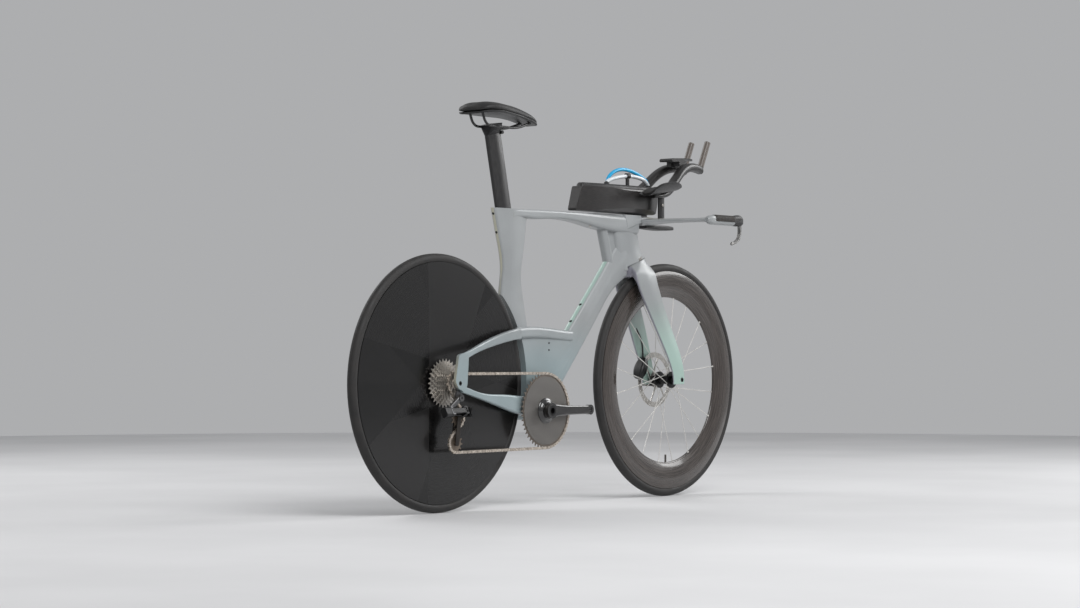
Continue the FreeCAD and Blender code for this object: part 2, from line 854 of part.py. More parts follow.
def head_housing():
    wires = []
    for height, rear, front, width in HOUSING_shares:
        z = head_level(height)
        origin = vec(steer_axis_x(z), 0, z)
        wires.append(tube_section(origin, X, Y, rear * HEAD_DEPTH, front * HEAD_DEPTH,
                                  width * HEAD_WIDTH, *HOUSING_SECTION_shares))
    return loft(wires)


def head_fin(width, front_share):
    wires = []
    for height in (HOUSING_shares[0][0], HOUSING_shares[-2][0]):
        z = head_level(height)
        origin = vec(steer_axis_x(z), 0, z)
        wires.append(tube_section(origin, X, Y, -HEAD_DEPTH, front_share * HEAD_DEPTH, width,
                                  *FIN_SECTION_shares))
    return loft(wires)


def belt():
    wires = []
    for place, shift, depth, width in BELT_shares:
        origin = bike(place * WHEELBASE, 0, BELT_HEIGHT + shift * BELT_DEPTH)
        wires.append(block_section(origin, Z, Y, depth * BELT_DEPTH, width * BELT_WIDTH))
    return loft(wires)


def stay(shares, full_depth):
    """One right-hand stay from the dropout forward."""
    wires = []
    for fore, height, depth, side, thick in shares:
        origin = REAR_AXLE + vec(fore * CHAINSTAY, -side * REAR_DROPOUT_WIDTH, height * WHEEL_RADIUS)
        wires.append(block_section(origin, Z, Y, depth * full_depth, thick * STAY_THICK))
    return loft(wires)


def dropout():
    pairs = [(x * DROPOUT_HEIGHT, z * DROPOUT_HEIGHT) for x, z in DROPOUT_shares]
    inner = REAR_DROPOUT_WIDTH / 2
    return prism(pairs, -inner - DROPOUT_THICK, -inner, SOFT_ROUND_share, REAR_AXLE)


def post_profile(at, grow):
    """The seatpost's section on the seat axis, grown all round by a gap."""
    reach = POST_CHORD / 2 + grow
    return tube_section(at, SEAT_FORE, Y, -reach, reach, POST_WIDTH + 2 * grow, *POST_SECTION_shares)


def seat_point(z):
    return vec(seat_axis_x(z), 0, z)


def seatpost_socket():
    top = seat_point(TOP_TUBE_HEIGHT + OVERRUN)
    bottom = seat_point(TOP_TUBE_HEIGHT - SOCKET_DEPTH)
    return Part.Face(post_profile(bottom, RUN_GAP)).extrude(top - bottom)


def boss_point(index):
    """Mouth of a bottle boss on the down tube's upper face."""
    upper = DOWN_TUBE_shares[2][1] * DOWN_TUBE_DEPTH
    return BB + DOWN_ALONG * (BOSS_PLACE + index * BOSS_SPACING - BOSS_SPACING / 2) + DOWN_NORMAL * upper


def clamp_bolt_line(index):
    """Mouth and seat of a clamp bolt in the seat tube's rear face."""
    z = TOP_TUBE_HEIGHT - CLAMP_BOLT_DROP - index * CLAMP_BOLT_SPACING
    share = (z - BB.z) / (TOP_TUBE_HEIGHT - BB.z)
    low, high = SEAT_TUBE_shares[-3], SEAT_TUBE_shares[-1]
    rear = between(low[1], high[1], (share - low[0]) / (high[0] - low[0])) * SEAT_TUBE_DEPTH
    mouth = vec(seat_axis_x(z) + rear, 0, z)
    return mouth, mouth + SEAT_FORE * CLAMP_BOLT_LENGTH


def headset_seats():
    """Two spans up the steering axis, with the bearing radius of each."""
    low = CROWN_TOP + SEAM_GAP
    high = STEM_SEAT - SEAM_GAP
    return (
        (low, low + HEADSET_BEARING_HEIGHT, LOWER_BEARING_RADIUS, LOWER_STEERER_RADIUS),
        (high - HEADSET_BEARING_HEIGHT, high, UPPER_BEARING_RADIUS, STEERER_RADIUS),
    )


def caliper_box(axle, rotor_radius, rotor_side, angle):
    """Placement of a caliper astride its rotor's edge, at an angle about the axle."""
    outward = vec(math.cos(math.radians(angle)), 0, math.sin(math.radians(angle)))
    centre = axle + outward * (rotor_radius - CALIPER_DEPTH / 2 + ROTOR_BAND / 2) + Y * rotor_side
    return centre, outward, vec(-outward.z, 0, outward.x)


def frame():
    tubes = [seat_tube(), top_tube(), down_tube(), head_housing()]
    tubes.append(head_fin(FIN_WIDTH, FIN_FRONT_share))
    tubes.append(head_fin(WEB_WIDTH, HOUSING_shares[2][1] / 2))
    tubes.append(belt())
    pairs = [(x * CHAINSTAY, z * CHAINSTAY) for x, z in PANEL_shares]
    tubes.append(prism(pairs, -PANEL_WIDTH / 2, PANEL_WIDTH / 2, SOFT_ROUND_share / 2, BB))
    shell = Y * (BB_SHELL_WIDTH / 2)
    tubes.append(rod(BB - shell, BB + shell, BB_SHELL_RADIUS))
    for stay_shares, depth in ((SEATSTAY_shares, SEATSTAY_DEPTH), (CHAINSTAY_shares, CHAINSTAY_DEPTH)):
        tubes.extend(both_sides(stay(stay_shares, depth)))
    tubes.extend(both_sides(dropout()))
    whole = fused(tubes)
    slot = Y * (WHEEL_SLOT_WIDTH / 2)
    cuts = [rod(REAR_AXLE - slot, REAR_AXLE + slot, WHEEL_RADIUS + WHEEL_CLEARANCE)]
    cuts.append(rod(steer(STEM_SEAT, 0), steer(STEM_SEAT + 2 * OVERRUN, 0), STEM_HUB_RADIUS + SEAM_GAP))
    cuts.append(rod(steer(CROWN_TOP, 0), steer(CROWN_TOP - 3 * OVERRUN, 0), CROWN_CHORD * CROWN_CUT_share))
    bore = LOWER_STEERER_RADIUS + RUN_GAP
    cuts.append(rod(steer(CROWN_TOP - OVERRUN, 0), steer(STEM_SEAT + OVERRUN, 0), bore))
    for low, high, radius, _ in headset_seats():
        cuts.append(rod(steer(low, 0), steer(high, 0), radius))
    cuts.append(rod(steer(CROWN_TOP - SEAM_GAP, 0), steer(CROWN_TOP + SEAM_GAP, 0), LOWER_BEARING_RADIUS))
    cuts.append(rod(steer(STEM_SEAT - SEAM_GAP, 0), steer(STEM_SEAT + SEAM_GAP, 0), UPPER_BEARING_RADIUS))
    cuts.append(seatpost_socket())
    cuts.append(rod(BB - shell * 2, BB + shell * 2, CUP_RING_RADIUS))
    side = Y * (REAR_DROPOUT_WIDTH / 2 + OVERRUN)
    cuts.append(rod(REAR_AXLE - side, REAR_AXLE + side, AXLE_RADIUS))
    for index in range(2):
        mouth = boss_point(index)
        cuts.append(rod(mouth - DOWN_NORMAL * OVERRUN, mouth + DOWN_NORMAL * BOSS_LENGTH, BOSS_RADIUS))
        mouth, seat = clamp_bolt_line(index)
        cuts.append(rod(mouth - SEAT_FORE * OVERRUN, seat, CLAMP_BOLT_RADIUS))
    return whole.cut(cuts)


def headset_bearings():
    return [sleeve(steer(low, 0), steer(high, 0), radius, inner + BEARING_GAP)
            for low, high, radius, inner in headset_seats()]


def bottom_bracket_cups():
    inner = BB + Y * (BB_SHELL_WIDTH / 2 - CUP_RING_WIDTH)
    outer = BB + Y * (BB_SHELL_WIDTH / 2)
    ring = sleeve(inner, outer, CUP_RING_RADIUS, SPINDLE_RADIUS + BEARING_GAP)
    return both_sides(ring)


def bottle_boss_inserts():
    inserts = []
    for index in range(2):
        mouth = boss_point(index)
        inserts.append(sleeve(mouth, mouth + DOWN_NORMAL * BOSS_LENGTH, BOSS_RADIUS, BOSS_THREAD_RADIUS))
    return inserts


def frame_bolts():
    bolts = []
    for index in range(2):
        mouth, seat = clamp_bolt_line(index)
        key = rod(mouth, between(mouth, seat, BOLT_KEY_DEPTH_share), CLAMP_BOLT_RADIUS / 2)
        bolts.append(rod(mouth, seat, CLAMP_BOLT_RADIUS).cut(key))
    return bolts


def thru_axle(axle, inner_width, thick):
    """A round axle with a low head on the drive side and a hexagon key way."""
    near = axle - Y * (inner_width / 2 + thick)
    far = axle + Y * (inner_width / 2 + thick)
    key = rod(near - Y * AXLE_HEAD_LENGTH, near + Y * (2 * AXLE_HEAD_LENGTH), AXLE_RADIUS / 2)
    return rod(near, far, AXLE_RADIUS).cut(key)


def caliper(axle, rotor_radius, rotor_side, angle):
    """A caliper body astride the rotor, and its two pads in the slot."""
    centre, outward, along = caliper_box(axle, rotor_radius, rotor_side, angle)
    body = loft([
        block_section(centre + along * (CALIPER_LENGTH * place), outward, Y,
                      CALIPER_DEPTH * deep, CALIPER_WIDTH * wide)
        for place, deep, wide in CALIPER_shares
    ])
    side = Y * rotor_side
    slot = Y * (CALIPER_SLOT / 2)
    disc = rod(axle + side - slot, axle + side + slot, rotor_radius + ROTOR_THICK)
    pads = []
    gap = Y * (ROTOR_THICK / 2 + RUN_GAP)
    for sign in (-1, 1):
        inner = centre - outward * (CALIPER_DEPTH / 4) + gap * sign
        face = Part.Face(block_section(inner, outward, along, ROTOR_BAND, BRAKE_PAD_LENGTH))
        pads.append(face.extrude(Y * (sign * BRAKE_PAD_THICK)))
    return [body.cut(disc)] + pads


# Wheels

def tyre(axle):
    centre = WHEEL_RADIUS - TYRE_WIDTH / 2
    half = math.sqrt((TYRE_WIDTH / 2) ** 2 - (centre - RIM_RADIUS) ** 2)
    left = axle + vec(0, -half, RIM_RADIUS)
    right = axle + vec(0, half, RIM_RADIUS)
    crown = axle + vec(0, 0, WHEEL_RADIUS)
    edges = [Part.Arc(left, crown, right).toShape(), Part.LineSegment(right, left).toShape()]
    return Part.Face(Part.Wire(edges)).revolve(axle, Y, 360)


def deep_rim():
    """A rim whose sides bulge and then close in a rounded spoke bed."""
    inner = RIM_RADIUS - RIM_DEPTH
    nose = inner + RIM_NOSE_WIDTH / 2
    bulge = between(RIM_RADIUS, inner, RIM_BULGE_share)
    points = (
        (RIM_RADIUS, -RIM_SEAT_WIDTH / 2),
        (bulge, -RIM_BULGE_WIDTH / 2),
        (nose, -RIM_NOSE_WIDTH / 2),
        (inner, 0),
        (nose, RIM_NOSE_WIDTH / 2),
        (bulge, RIM_BULGE_WIDTH / 2),
        (RIM_RADIUS, RIM_SEAT_WIDTH / 2),
    )
    at = [FRONT_AXLE + vec(0, side, radius) for radius, side in points]
    edges = [Part.Arc(at[i], at[i + 1], at[i + 2]).toShape() for i in (0, 2, 4)]
    edges.append(Part.LineSegment(at[6], at[0]).toShape())
    return Part.Face(Part.Wire(edges)).revolve(FRONT_AXLE, Y, 360)


def valve(rim):
    bed = FRONT_AXLE - Z * (RIM_RADIUS - RIM_DEPTH - VALVE_LENGTH)
    stem = rod(bed, bed - Z * (VALVE_LENGTH + RIM_NOSE_WIDTH), VALVE_RADIUS)
    return stem.cut(rim)


def front_hub_shell():
    end = FRONT_DROPOUT_WIDTH / 2 - RUN_GAP
    flange = FRONT_FLANGE_OFFSET
    rim = flange - HUB_FLANGE_WIDTH
    outline = (
        (0, -end), (HUB_BODY_RADIUS, -end), (HUB_BODY_RADIUS, -flange), (HUB_FLANGE_RADIUS, -flange),
        (HUB_FLANGE_RADIUS, -rim), (HUB_BODY_RADIUS, -rim), (HUB_BODY_RADIUS, rim), (HUB_FLANGE_RADIUS, rim),
        (HUB_FLANGE_RADIUS, flange), (HUB_BODY_RADIUS, flange), (HUB_BODY_RADIUS, end), (0, end),
    )
    bore = rod(FRONT_AXLE - Y * (2 * end), FRONT_AXLE + Y * (2 * end), HUB_BEARING_RADIUS)
    return turned(outline, FRONT_AXLE).cut(bore)


def hub_bearings(axle, low, high):
    """Two bearings, one in each end of a hub shell."""
    rings = []
    for start, side in ((low, 1), (high, -1)):
        inner = axle + Y * start
        rings.append(sleeve(inner, inner + Y * (side * HUB_BEARING_WIDTH), HUB_BEARING_RADIUS,
                            AXLE_RADIUS + BEARING_GAP))
    return rings


def front_hub():
    end = FRONT_DROPOUT_WIDTH / 2 - RUN_GAP
    return [front_hub_shell()] + hub_bearings(FRONT_AXLE, -end, end)


def front_spokes(hub, rim):
    """Crossed bladed spokes, half of them from each flange."""
    blades = []
    bed = RIM_RADIUS - RIM_DEPTH + RIM_NOSE_WIDTH / 2
    root = HUB_FLANGE_RADIUS - HUB_FLANGE_WIDTH / 2
    for i in range(SPOKE_COUNT):
        side = 1 if i % 2 else -1
        lean = SPOKE_LEAN if i % 4 < 2 else -SPOKE_LEAN
        at_rim = math.radians(360 * i / SPOKE_COUNT + SPOKE_TURN)
        at_hub = at_rim + math.radians(lean)
        cross = SPOKE_THICK if lean > 0 else -SPOKE_THICK
        start = FRONT_AXLE + vec(root * math.cos(at_hub),
                                 side * (FRONT_FLANGE_OFFSET - HUB_FLANGE_WIDTH / 2 + cross),
                                 root * math.sin(at_hub))
        end = FRONT_AXLE + vec(bed * math.cos(at_rim), side * SPOKE_BED_OFFSET, bed * math.sin(at_rim))
        along = unit(end - start)
        across = unit(Y.cross(along))
        face = Part.Face(block_section(start, across, across.cross(along), SPOKE_BLADE, SPOKE_THICK))
        blades.append(face.extrude(end - start).cut([hub, rim]))
    return blades


def rotor(axle, radius, side, bore):
    """A drilled braking band carried by slanted arms on a centre ring."""
    low = axle + Y * (side - ROTOR_THICK / 2)
    high = axle + Y * (side + ROTOR_THICK / 2)
    band = sleeve(low, high, radius, radius - ROTOR_BAND)
    ring = sleeve(low, high, ROTOR_HUB_RADIUS, bore)
    pieces = [ring]
    reach = radius - ROTOR_BAND / 2
    for i in range(ROTOR_ARMS):
        arm = prism(((0, -ROTOR_ARM_WIDTH / 2), (reach, -ROTOR_ARM_WIDTH / 4), (reach, ROTOR_ARM_WIDTH / 4),
                     (0, ROTOR_ARM_WIDTH / 2)), side - ROTOR_THICK / 2, side + ROTOR_THICK / 2,
                    0, axle + Z * (ROTOR_HUB_RADIUS * ROTOR_ARM_share))
        pieces.append(turn(arm, axle, Y, 360 * i / ROTOR_ARMS))
    inside = rod(low - Y * OVERRUN, high + Y * OVERRUN, radius - ROTOR_BAND / 4)
    centre = rod(low - Y * OVERRUN, high + Y * OVERRUN, bore)
    arms = fused(pieces).common(inside).cut(centre)
    whole = fused([band, arms])
    holes = []
    for i in range(ROTOR_HOLES):
        angle = math.radians(360 * i / ROTOR_HOLES)
        place = radius - ROTOR_BAND * ROTOR_HOLE_shares[i % 2]
        at = axle + vec(place * math.cos(angle), side, place * math.sin(angle))
        holes.append(rod(at - Y * OVERRUN, at + Y * OVERRUN, ROTOR_HOLE_RADIUS))
    return whole.cut(holes)


def disc_wheel():
    """A closed disc, nearly flat on the drive side and bulged on the other."""
    seat = RIM_SEAT_WIDTH / 2
    inner = DISC_BORE
    points = (
        (RIM_RADIUS, -seat),
        (between(RIM_RADIUS, inner, DISC_DRIVE_shares[0]), -seat - DISC_DRIVE_BULGE * DISC_DRIVE_shares[1]),
        (inner, -seat - DISC_DRIVE_BULGE),
        (inner, seat + DISC_FAR_BULGE),
        (between(RIM_RADIUS, inner, DISC_FAR_shares[0]), seat + DISC_FAR_BULGE * DISC_FAR_shares[1]),
        (RIM_RADIUS, seat),
    )
    at = [REAR_AXLE + vec(0, side, radius) for radius, side in points]
    edges = [
        Part.Arc(at[0], at[1], at[2]).toShape(),
        Part.LineSegment(at[2], at[3]).toShape(),
        Part.Arc(at[3], at[4], at[5]).toShape(),
        Part.LineSegment(at[5], at[0]).toShape(),
    ]
    return Part.Face(Part.Wire(edges)).revolve(REAR_AXLE, Y, 360)


def sprocket_side(index):
    return -(REAR_DROPOUT_WIDTH / 2 - SPROCKET_END_GAP) + index * SPROCKET_PITCH


FREEHUB_INNER = sprocket_side(len(SPROCKET_TEETH) - 1) + SPROCKET_PITCH
REAR_ROTOR_SIDE = REAR_DROPOUT_WIDTH / 2 - REAR_ROTOR_INSET
FRONT_ROTOR_SIDE = FRONT_DROPOUT_WIDTH / 2 - FRONT_ROTOR_INSET


def rear_hub():
    low = FREEHUB_INNER + RUN_GAP
    high = REAR_DROPOUT_WIDTH / 2 - RUN_GAP
    far = RIM_SEAT_WIDTH / 2 + DISC_FAR_BULGE
    outline = (
        (0, low), (DISC_BORE, low), (DISC_BORE, far),
        (HUB_BODY_RADIUS, far), (HUB_BODY_RADIUS, high), (0, high),
    )
    bore = rod(REAR_AXLE + Y * (2 * low), REAR_AXLE + Y * (2 * high), HUB_BEARING_RADIUS)
    return [turned(outline, REAR_AXLE).cut(bore)] + hub_bearings(REAR_AXLE, low, high)


# Drive

def pitch_radius(teeth):
    return PITCH / (2 * math.sin(math.pi / teeth))


def toothed_wire(centre, teeth, phase, side):
    """Outline of a sprocket whose valleys lie on the chain's rollers."""
    root = pitch_radius(teeth) - TOOTH_ROOT_DEPTH
    tip = pitch_radius(teeth) + TOOTH_TIP_HEIGHT
    in_valley = math.asin(TOOTH_ROOT_HALF_GAP / root)
    to_tip = math.pi / teeth - TOOTH_TIP_HALF / tip
    points = []
    for k in range(teeth):
        roller = phase + 2 * math.pi * k / teeth
        for radius, angle in ((tip, -to_tip), (root, -in_valley), (root, in_valley), (tip, to_tip)):
            points.append(vec(centre.x + radius * math.cos(roller + angle), side,
                              centre.z + radius * math.sin(roller + angle)))
    return Part.makePolygon(points + points[:1])


def toothed(centre, teeth, phase, side, thick):
    return Part.Face(toothed_wire(centre, teeth, phase, side - thick / 2)).extrude(Y * thick)


CAGE_PIVOT = REAR_AXLE + vec(CAGE_PIVOT_FORWARD, 0, -CAGE_PIVOT_DROP)
CHAIN_SIDE = sprocket_side(ENGAGED_SPROCKET)


def polar(degrees):
    return vec(math.cos(math.radians(degrees)), 0, math.sin(math.radians(degrees)))


def pulley_centres(swing):
    """Upper and lower pulley centres with the cage swung by an angle."""
    upper = CAGE_PIVOT + polar(GUIDE_PULLEY_ANGLE + swing) * GUIDE_PULLEY_ARM
    lower = upper + polar(PULLEY_SPREAD_ANGLE + swing) * PULLEY_SPREAD
    return upper, lower


def chain_rounds(swing):
    """The wheels that the chain goes round: centre, teeth, sense and side."""
    upper, lower = pulley_centres(swing)
    return (
        (BB, CHAINRING_TEETH, 1, -CHAINLINE),
        (lower, PULLEY_TEETH, 1, CHAIN_SIDE),
        (upper, PULLEY_TEETH, -1, CHAIN_SIDE),
        (REAR_AXLE, SPROCKET_TEETH[ENGAGED_SPROCKET], 1, CHAIN_SIDE),
    )


def chain_path(swing):
    """Straight runs and arcs of the pitch line, each with its length in chain pitch."""
    rounds = chain_rounds(swing)
    headings = []
    for i, (centre, teeth, sense, _) in enumerate(rounds):
        ahead, ahead_teeth, ahead_sense, _ = rounds[(i + 1) % len(rounds)]
        gap = ahead - centre
        spread = sense * pitch_radius(teeth) - ahead_sense * pitch_radius(ahead_teeth)
        distance = math.hypot(gap.x, gap.z)
        headings.append(math.atan2(gap.z, gap.x) - math.asin(spread / distance))
    pieces = []
    for i, (centre, teeth, sense, side) in enumerate(rounds):
        came, goes = headings[i - 1], headings[i]
        radius = pitch_radius(teeth)
        sweep = (sense * (came - goes)) % (2 * math.pi)
        start = came + sense * math.pi / 2
        length = sweep * teeth / (2 * math.pi) * PITCH
        pieces.append(("arc", centre, radius, start, sense, sweep, length, side, i))
        ahead, ahead_teeth, ahead_sense, ahead_side = rounds[(i + 1) % len(rounds)]
        normal = vec(-math.sin(goes), 0, math.cos(goes))
        leave = vec(centre.x, side, centre.z) + normal * (sense * radius)
        land = vec(ahead.x, ahead_side, ahead.z) + normal * (ahead_sense * pitch_radius(ahead_teeth))
        pieces.append(("run", leave, land, (land - leave).Length))
    return pieces


def path_length(swing):
    return sum(piece[6] if piece[0] == "arc" else piece[3] for piece in chain_path(swing))


def settled_swing():
    """The cage angle at which the loop closes on an even number of links, and that number."""
    links = 2 * round(path_length(0) / PITCH / 2)
    low, high = -CAGE_SEARCH, CAGE_SEARCH
    for _ in range(SEARCH_STEPS):
        middle = (low + high) / 2
        same = (path_length(middle) - links * PITCH) * (path_length(low) - links * PITCH) > 0
        low, high = (middle, high) if same else (low, middle)
    return middle, links


CAGE_SWING, CHAIN_LINKS = settled_swing()


def chain_pins():
    """Every pin of the chain, and the angle of one roller on each toothed wheel."""
    pieces = chain_path(CAGE_SWING)
    pins = []
    phases = {}
    for link in range(CHAIN_LINKS):
        travel = link * PITCH
        for piece in pieces:
            length = piece[6] if piece[0] == "arc" else piece[3]
            if travel <= length:
                break
            travel -= length
        if piece[0] == "arc":
            _, centre, radius, start, sense, sweep, length, side, index = piece
            angle = start - sense * sweep * travel / length
            phases.setdefault(index, angle)
            pins.append(vec(centre.x + radius * math.cos(angle), side, centre.z + radius * math.sin(angle)))
        else:
            pins.append(between(piece[1], piece[2], travel / length))
    return pins, phases


CHAIN_PINS, ROLLER_PHASES = chain_pins()


def link_plate(low, high):
    """A waisted side plate between two pins, lying along +X."""
    half = CHAIN_PLATE_HEIGHT / 2
    waist = half * PLATE_WAIST_share
    left = [vec(0, low, half), vec(-half, low, 0), vec(0, low, -half)]
    right = [vec(PITCH, low, -half), vec(PITCH + half, low, 0), vec(PITCH, low, half)]
    under = vec(PITCH / 2, low, -waist)
    over = vec(PITCH / 2, low, waist)
    edges = [
        Part.Arc(*left).toShape(),
        Part.Arc(left[2], under, right[0]).toShape(),
        Part.Arc(*right).toShape(),
        Part.Arc(right[2], over, left[0]).toShape(),
    ]
    return Part.Face(Part.Wire(edges)).extrude(Y * (high - low))


def inner_link():
    half = CHAIN_INNER_GAP / 2
    plates = [link_plate(half, half + CHAIN_PLATE), link_plate(-half - CHAIN_PLATE, -half)]
    rollers = [rod(vec(x, -half, 0), vec(x, half, 0), ROLLER_RADIUS) for x in (0, PITCH)]
    reach = half + CHAIN_PLATE + OVERRUN
    holes = [rod(vec(x, -reach, 0), vec(x, reach, 0), CHAIN_PIN_RADIUS + SEAT_GAP) for x in (0, PITCH)]
    return fused(plates + rollers).cut(holes)


def outer_link():
    near = CHAIN_INNER_GAP / 2 + CHAIN_PLATE + CHAIN_PIN_PROUD / 2
    far = near + CHAIN_PLATE
    plates = [link_plate(near, far), link_plate(-far, -near)]
    reach = far + CHAIN_PIN_PROUD
    pins = [rod(vec(x, -reach, 0), vec(x, reach, 0), CHAIN_PIN_RADIUS) for x in (0, PITCH)]
    return fused(plates + pins)


def placed(shape, start, end):
    """A copy of a link with its first pin at start, pointing at end."""
    along = unit(end - start)
    up = unit(along.cross(Y))
    side = up.cross(along)
    matrix = FreeCAD.Matrix(along.x, side.x, up.x, start.x, along.y, side.y, up.y, start.y,
                            along.z, side.z, up.z, start.z, 0, 0, 0, 1)
    copy = shape.copy()
    copy.Placement = FreeCAD.Placement(matrix)
    return copy


def chain():
    kinds = (inner_link(), outer_link())
    return [placed(kinds[i % 2], CHAIN_PINS[i], CHAIN_PINS[(i + 1) % CHAIN_LINKS])
            for i in range(CHAIN_LINKS)]


def freehub_body():
    low = REAR_AXLE - Y * (REAR_DROPOUT_WIDTH / 2 - RUN_GAP)
    return sleeve(low, REAR_AXLE + Y * FREEHUB_INNER, FREEHUB_RADIUS, AXLE_RADIUS + BEARING_GAP)


def cassette_sprockets():
    """Twelve drilled sprockets on the freehub, and the lockring that holds them."""
    rings = []
    for index, teeth in enumerate(SPROCKET_TEETH):
        side = sprocket_side(index)
        phase = ROLLER_PHASES[3] if index == ENGAGED_SPROCKET else math.pi / teeth
        ring = toothed(REAR_AXLE, teeth, phase, side, SPROCKET_THICK)
        cuts = [rod(REAR_AXLE + Y * (side - OVERRUN), REAR_AXLE + Y * (side + OVERRUN), FREEHUB_RADIUS)]
        root = pitch_radius(teeth) - TOOTH_ROOT_DEPTH
        width = root - FREEHUB_RADIUS
        radius = width * SPROCKET_HOLE_share
        middle = FREEHUB_RADIUS + width * SPROCKET_HOLE_PLACE_share
        round_length = math.pi * (root + FREEHUB_RADIUS)
        count = 0
        if teeth >= DRILLED_TEETH:
            count = math.floor(round_length / (radius * SPROCKET_HOLE_STEP_share))
        for k in range(count):
            angle = 2 * math.pi * k / count
            at = REAR_AXLE + vec(math.cos(angle), 0, math.sin(angle)) * middle + Y * side
            cuts.append(rod(at - Y * OVERRUN, at + Y * OVERRUN, radius))
        rings.append(ring.cut(cuts))
    near = sprocket_side(0) - SPROCKET_THICK / 2
    lock = sleeve(REAR_AXLE + Y * (near - SPROCKET_PITCH), REAR_AXLE + Y * near,
                  FREEHUB_RADIUS + SPROCKET_PITCH, FREEHUB_RADIUS)
    return rings + [lock]


def chainring():
    """A closed aero disc with the teeth round its rim."""
    teeth = toothed(BB, CHAINRING_TEETH, ROLLER_PHASES[0], -CHAINLINE, SPROCKET_THICK)
    half = Y * (CHAINRING_DISC_THICK / 2)
    centre = BB - Y * CHAINLINE
    disc = rod(centre - half, centre + half, CHAINRING_DISC_RADIUS)
    bore = rod(centre - half * 3, centre + half * 3, SPINDLE_RADIUS)
    return fused([teeth, disc]).cut(bore)


CRANK_OUTER_FACE = CRANK_INNER_FACE + CRANK_THICK


def crank_arm(boss_inner):
    """A right-hand crank arm lying forward, with its boss and open pedal thread."""
    middle = -CRANK_INNER_FACE - CRANK_THICK / 2
    wires = []
    for place, height, thick in CRANK_shares:
        origin = BB + vec(place * CRANK_LENGTH, middle, 0)
        wires.append(block_section(origin, Z, Y, height * CRANK_BOSS_RADIUS, thick * CRANK_THICK))
    end = BB + X * CRANK_LENGTH
    half = Y * (CRANK_THICK * CRANK_shares[-1][2] / 2)
    pieces = [
        loft(wires),
        rod(BB - Y * boss_inner, BB - Y * CRANK_OUTER_FACE, CRANK_BOSS_RADIUS),
        rod(end + Y * middle - half, end + Y * middle + half, CRANK_END_RADIUS),
    ]
    reach = Y * (2 * CRANK_OUTER_FACE)
    bores = [rod(BB - reach, BB + reach, SPINDLE_RADIUS), rod(end - reach, end + reach, PEDAL_THREAD_RADIUS)]
    return turn(fused(pieces).cut(bores), BB, Y, CRANK_ANGLE)


def crank_arm_right():
    return crank_arm(CHAINLINE + CHAINRING_DISC_THICK / 2)


def crank_arm_left():
    arm = mirrored(crank_arm(BB_SHELL_WIDTH / 2 + SEAM_GAP))
    return turn(arm, BB, Y, 180)


def crank_spindle():
    reach = Y * CRANK_OUTER_FACE
    key = rod(BB - reach, BB - reach * SPINDLE_KEY_shares[0], SPINDLE_RADIUS * SPINDLE_KEY_shares[1])
    return rod(BB - reach, BB + reach, SPINDLE_RADIUS).cut([key, mirrored(key)])


# Derailleur

TRAVEL = unit(vec(*TRAVEL_shares))
LINK_ALONG = unit(X - TRAVEL * X.dot(TRAVEL))
LINK_AXIS = LINK_ALONG.cross(TRAVEL)
HANGER_POINT = REAR_AXLE + vec(HANGER_FORWARD, -REAR_DROPOUT_WIDTH / 2, -HANGER_DROP)
LINK_FRONT = REAR_AXLE + vec(LINK_FORWARD, -LINK_SIDE, -LINK_DROP)
LINK_REAR = LINK_FRONT - LINK_ALONG * LINK_LENGTH
LINK_STEP = TRAVEL * LINK_OFFSET


def derailleur_hanger():
    pairs = [(x * HANGER_DROP, z * HANGER_DROP) for x, z in HANGER_shares]
    inner = REAR_DROPOUT_WIDTH / 2
    plate = prism(pairs, -inner, HANGER_THICK - inner, SOFT_ROUND_share, REAR_AXLE)
    hole = rod(HANGER_POINT, HANGER_POINT + Y * HANGER_THICK, HANGER_BOLT_RADIUS)
    return plate.cut(hole)


def link(rear):
    """One side of the parallelogram, bored at both ends."""
    half = LINK_AXIS * (LINK_WIDTH / 2)
    front = rear + LINK_ALONG * LINK_LENGTH
    web = Part.Face(block_section(rear, LINK_AXIS, TRAVEL, LINK_WIDTH, LINK_RADIUS * LINK_WEB_share))
    ends = (rear, front)
    body = fused([web.extrude(front - rear)] + [rod(at - half, at + half, LINK_RADIUS) for at in ends])
    return body.cut([rod(at - half * 2, at + half * 2, LINK_PIN_RADIUS + BEARING_GAP) for at in ends])


def fork_end(pivot, toward):
    """Two ears with their pins either side of the links' ends, joined by a bridge."""
    inner = LINK_WIDTH / 2 + RUN_GAP
    edge = LINK_RADIUS + EAR_MARGIN
    back = toward * (edge + EAR_THICK)
    near = pivot - toward * edge - TRAVEL * edge
    far = pivot - toward * edge + TRAVEL * (LINK_OFFSET + edge)
    root_far = pivot + back + TRAVEL * (LINK_OFFSET + edge)
    root_near = pivot + back - TRAVEL * edge
    face = Part.Face(rounded_wire([near, far, root_far, root_near], SOFT_ROUND_share))
    ears = []
    for sign in (-1, 1):
        ear = face.copy()
        ear.translate(LINK_AXIS * (sign * inner))
        ears.append(ear.extrude(LINK_AXIS * (sign * EAR_THICK)))
    span = LINK_AXIS * (inner + EAR_THICK)
    corners = [pivot + toward * edge + TRAVEL * (LINK_OFFSET + edge), root_far, root_near,
               pivot + toward * edge - TRAVEL * edge]
    corners = [corner - span for corner in corners]
    bridge = Part.Face(Part.makePolygon(corners + corners[:1])).extrude(span * 2)
    pins = [rod(at - span, at + span, LINK_PIN_RADIUS) for at in (pivot, pivot + LINK_STEP)]
    return ears + [bridge] + pins


def link_room(pivot):
    """The flat space between the ears that the links swing in."""
    half = LINK_AXIS * (LINK_WIDTH / 2 + RUN_GAP)
    along = LINK_ALONG * (2 * LINK_LENGTH)
    across = TRAVEL * (2 * LINK_LENGTH)
    base = pivot - half
    corners = [base - along - across, base + along - across, base + along + across, base - along + across]
    return Part.Face(Part.makePolygon(corners + corners[:1])).extrude(half * 2)


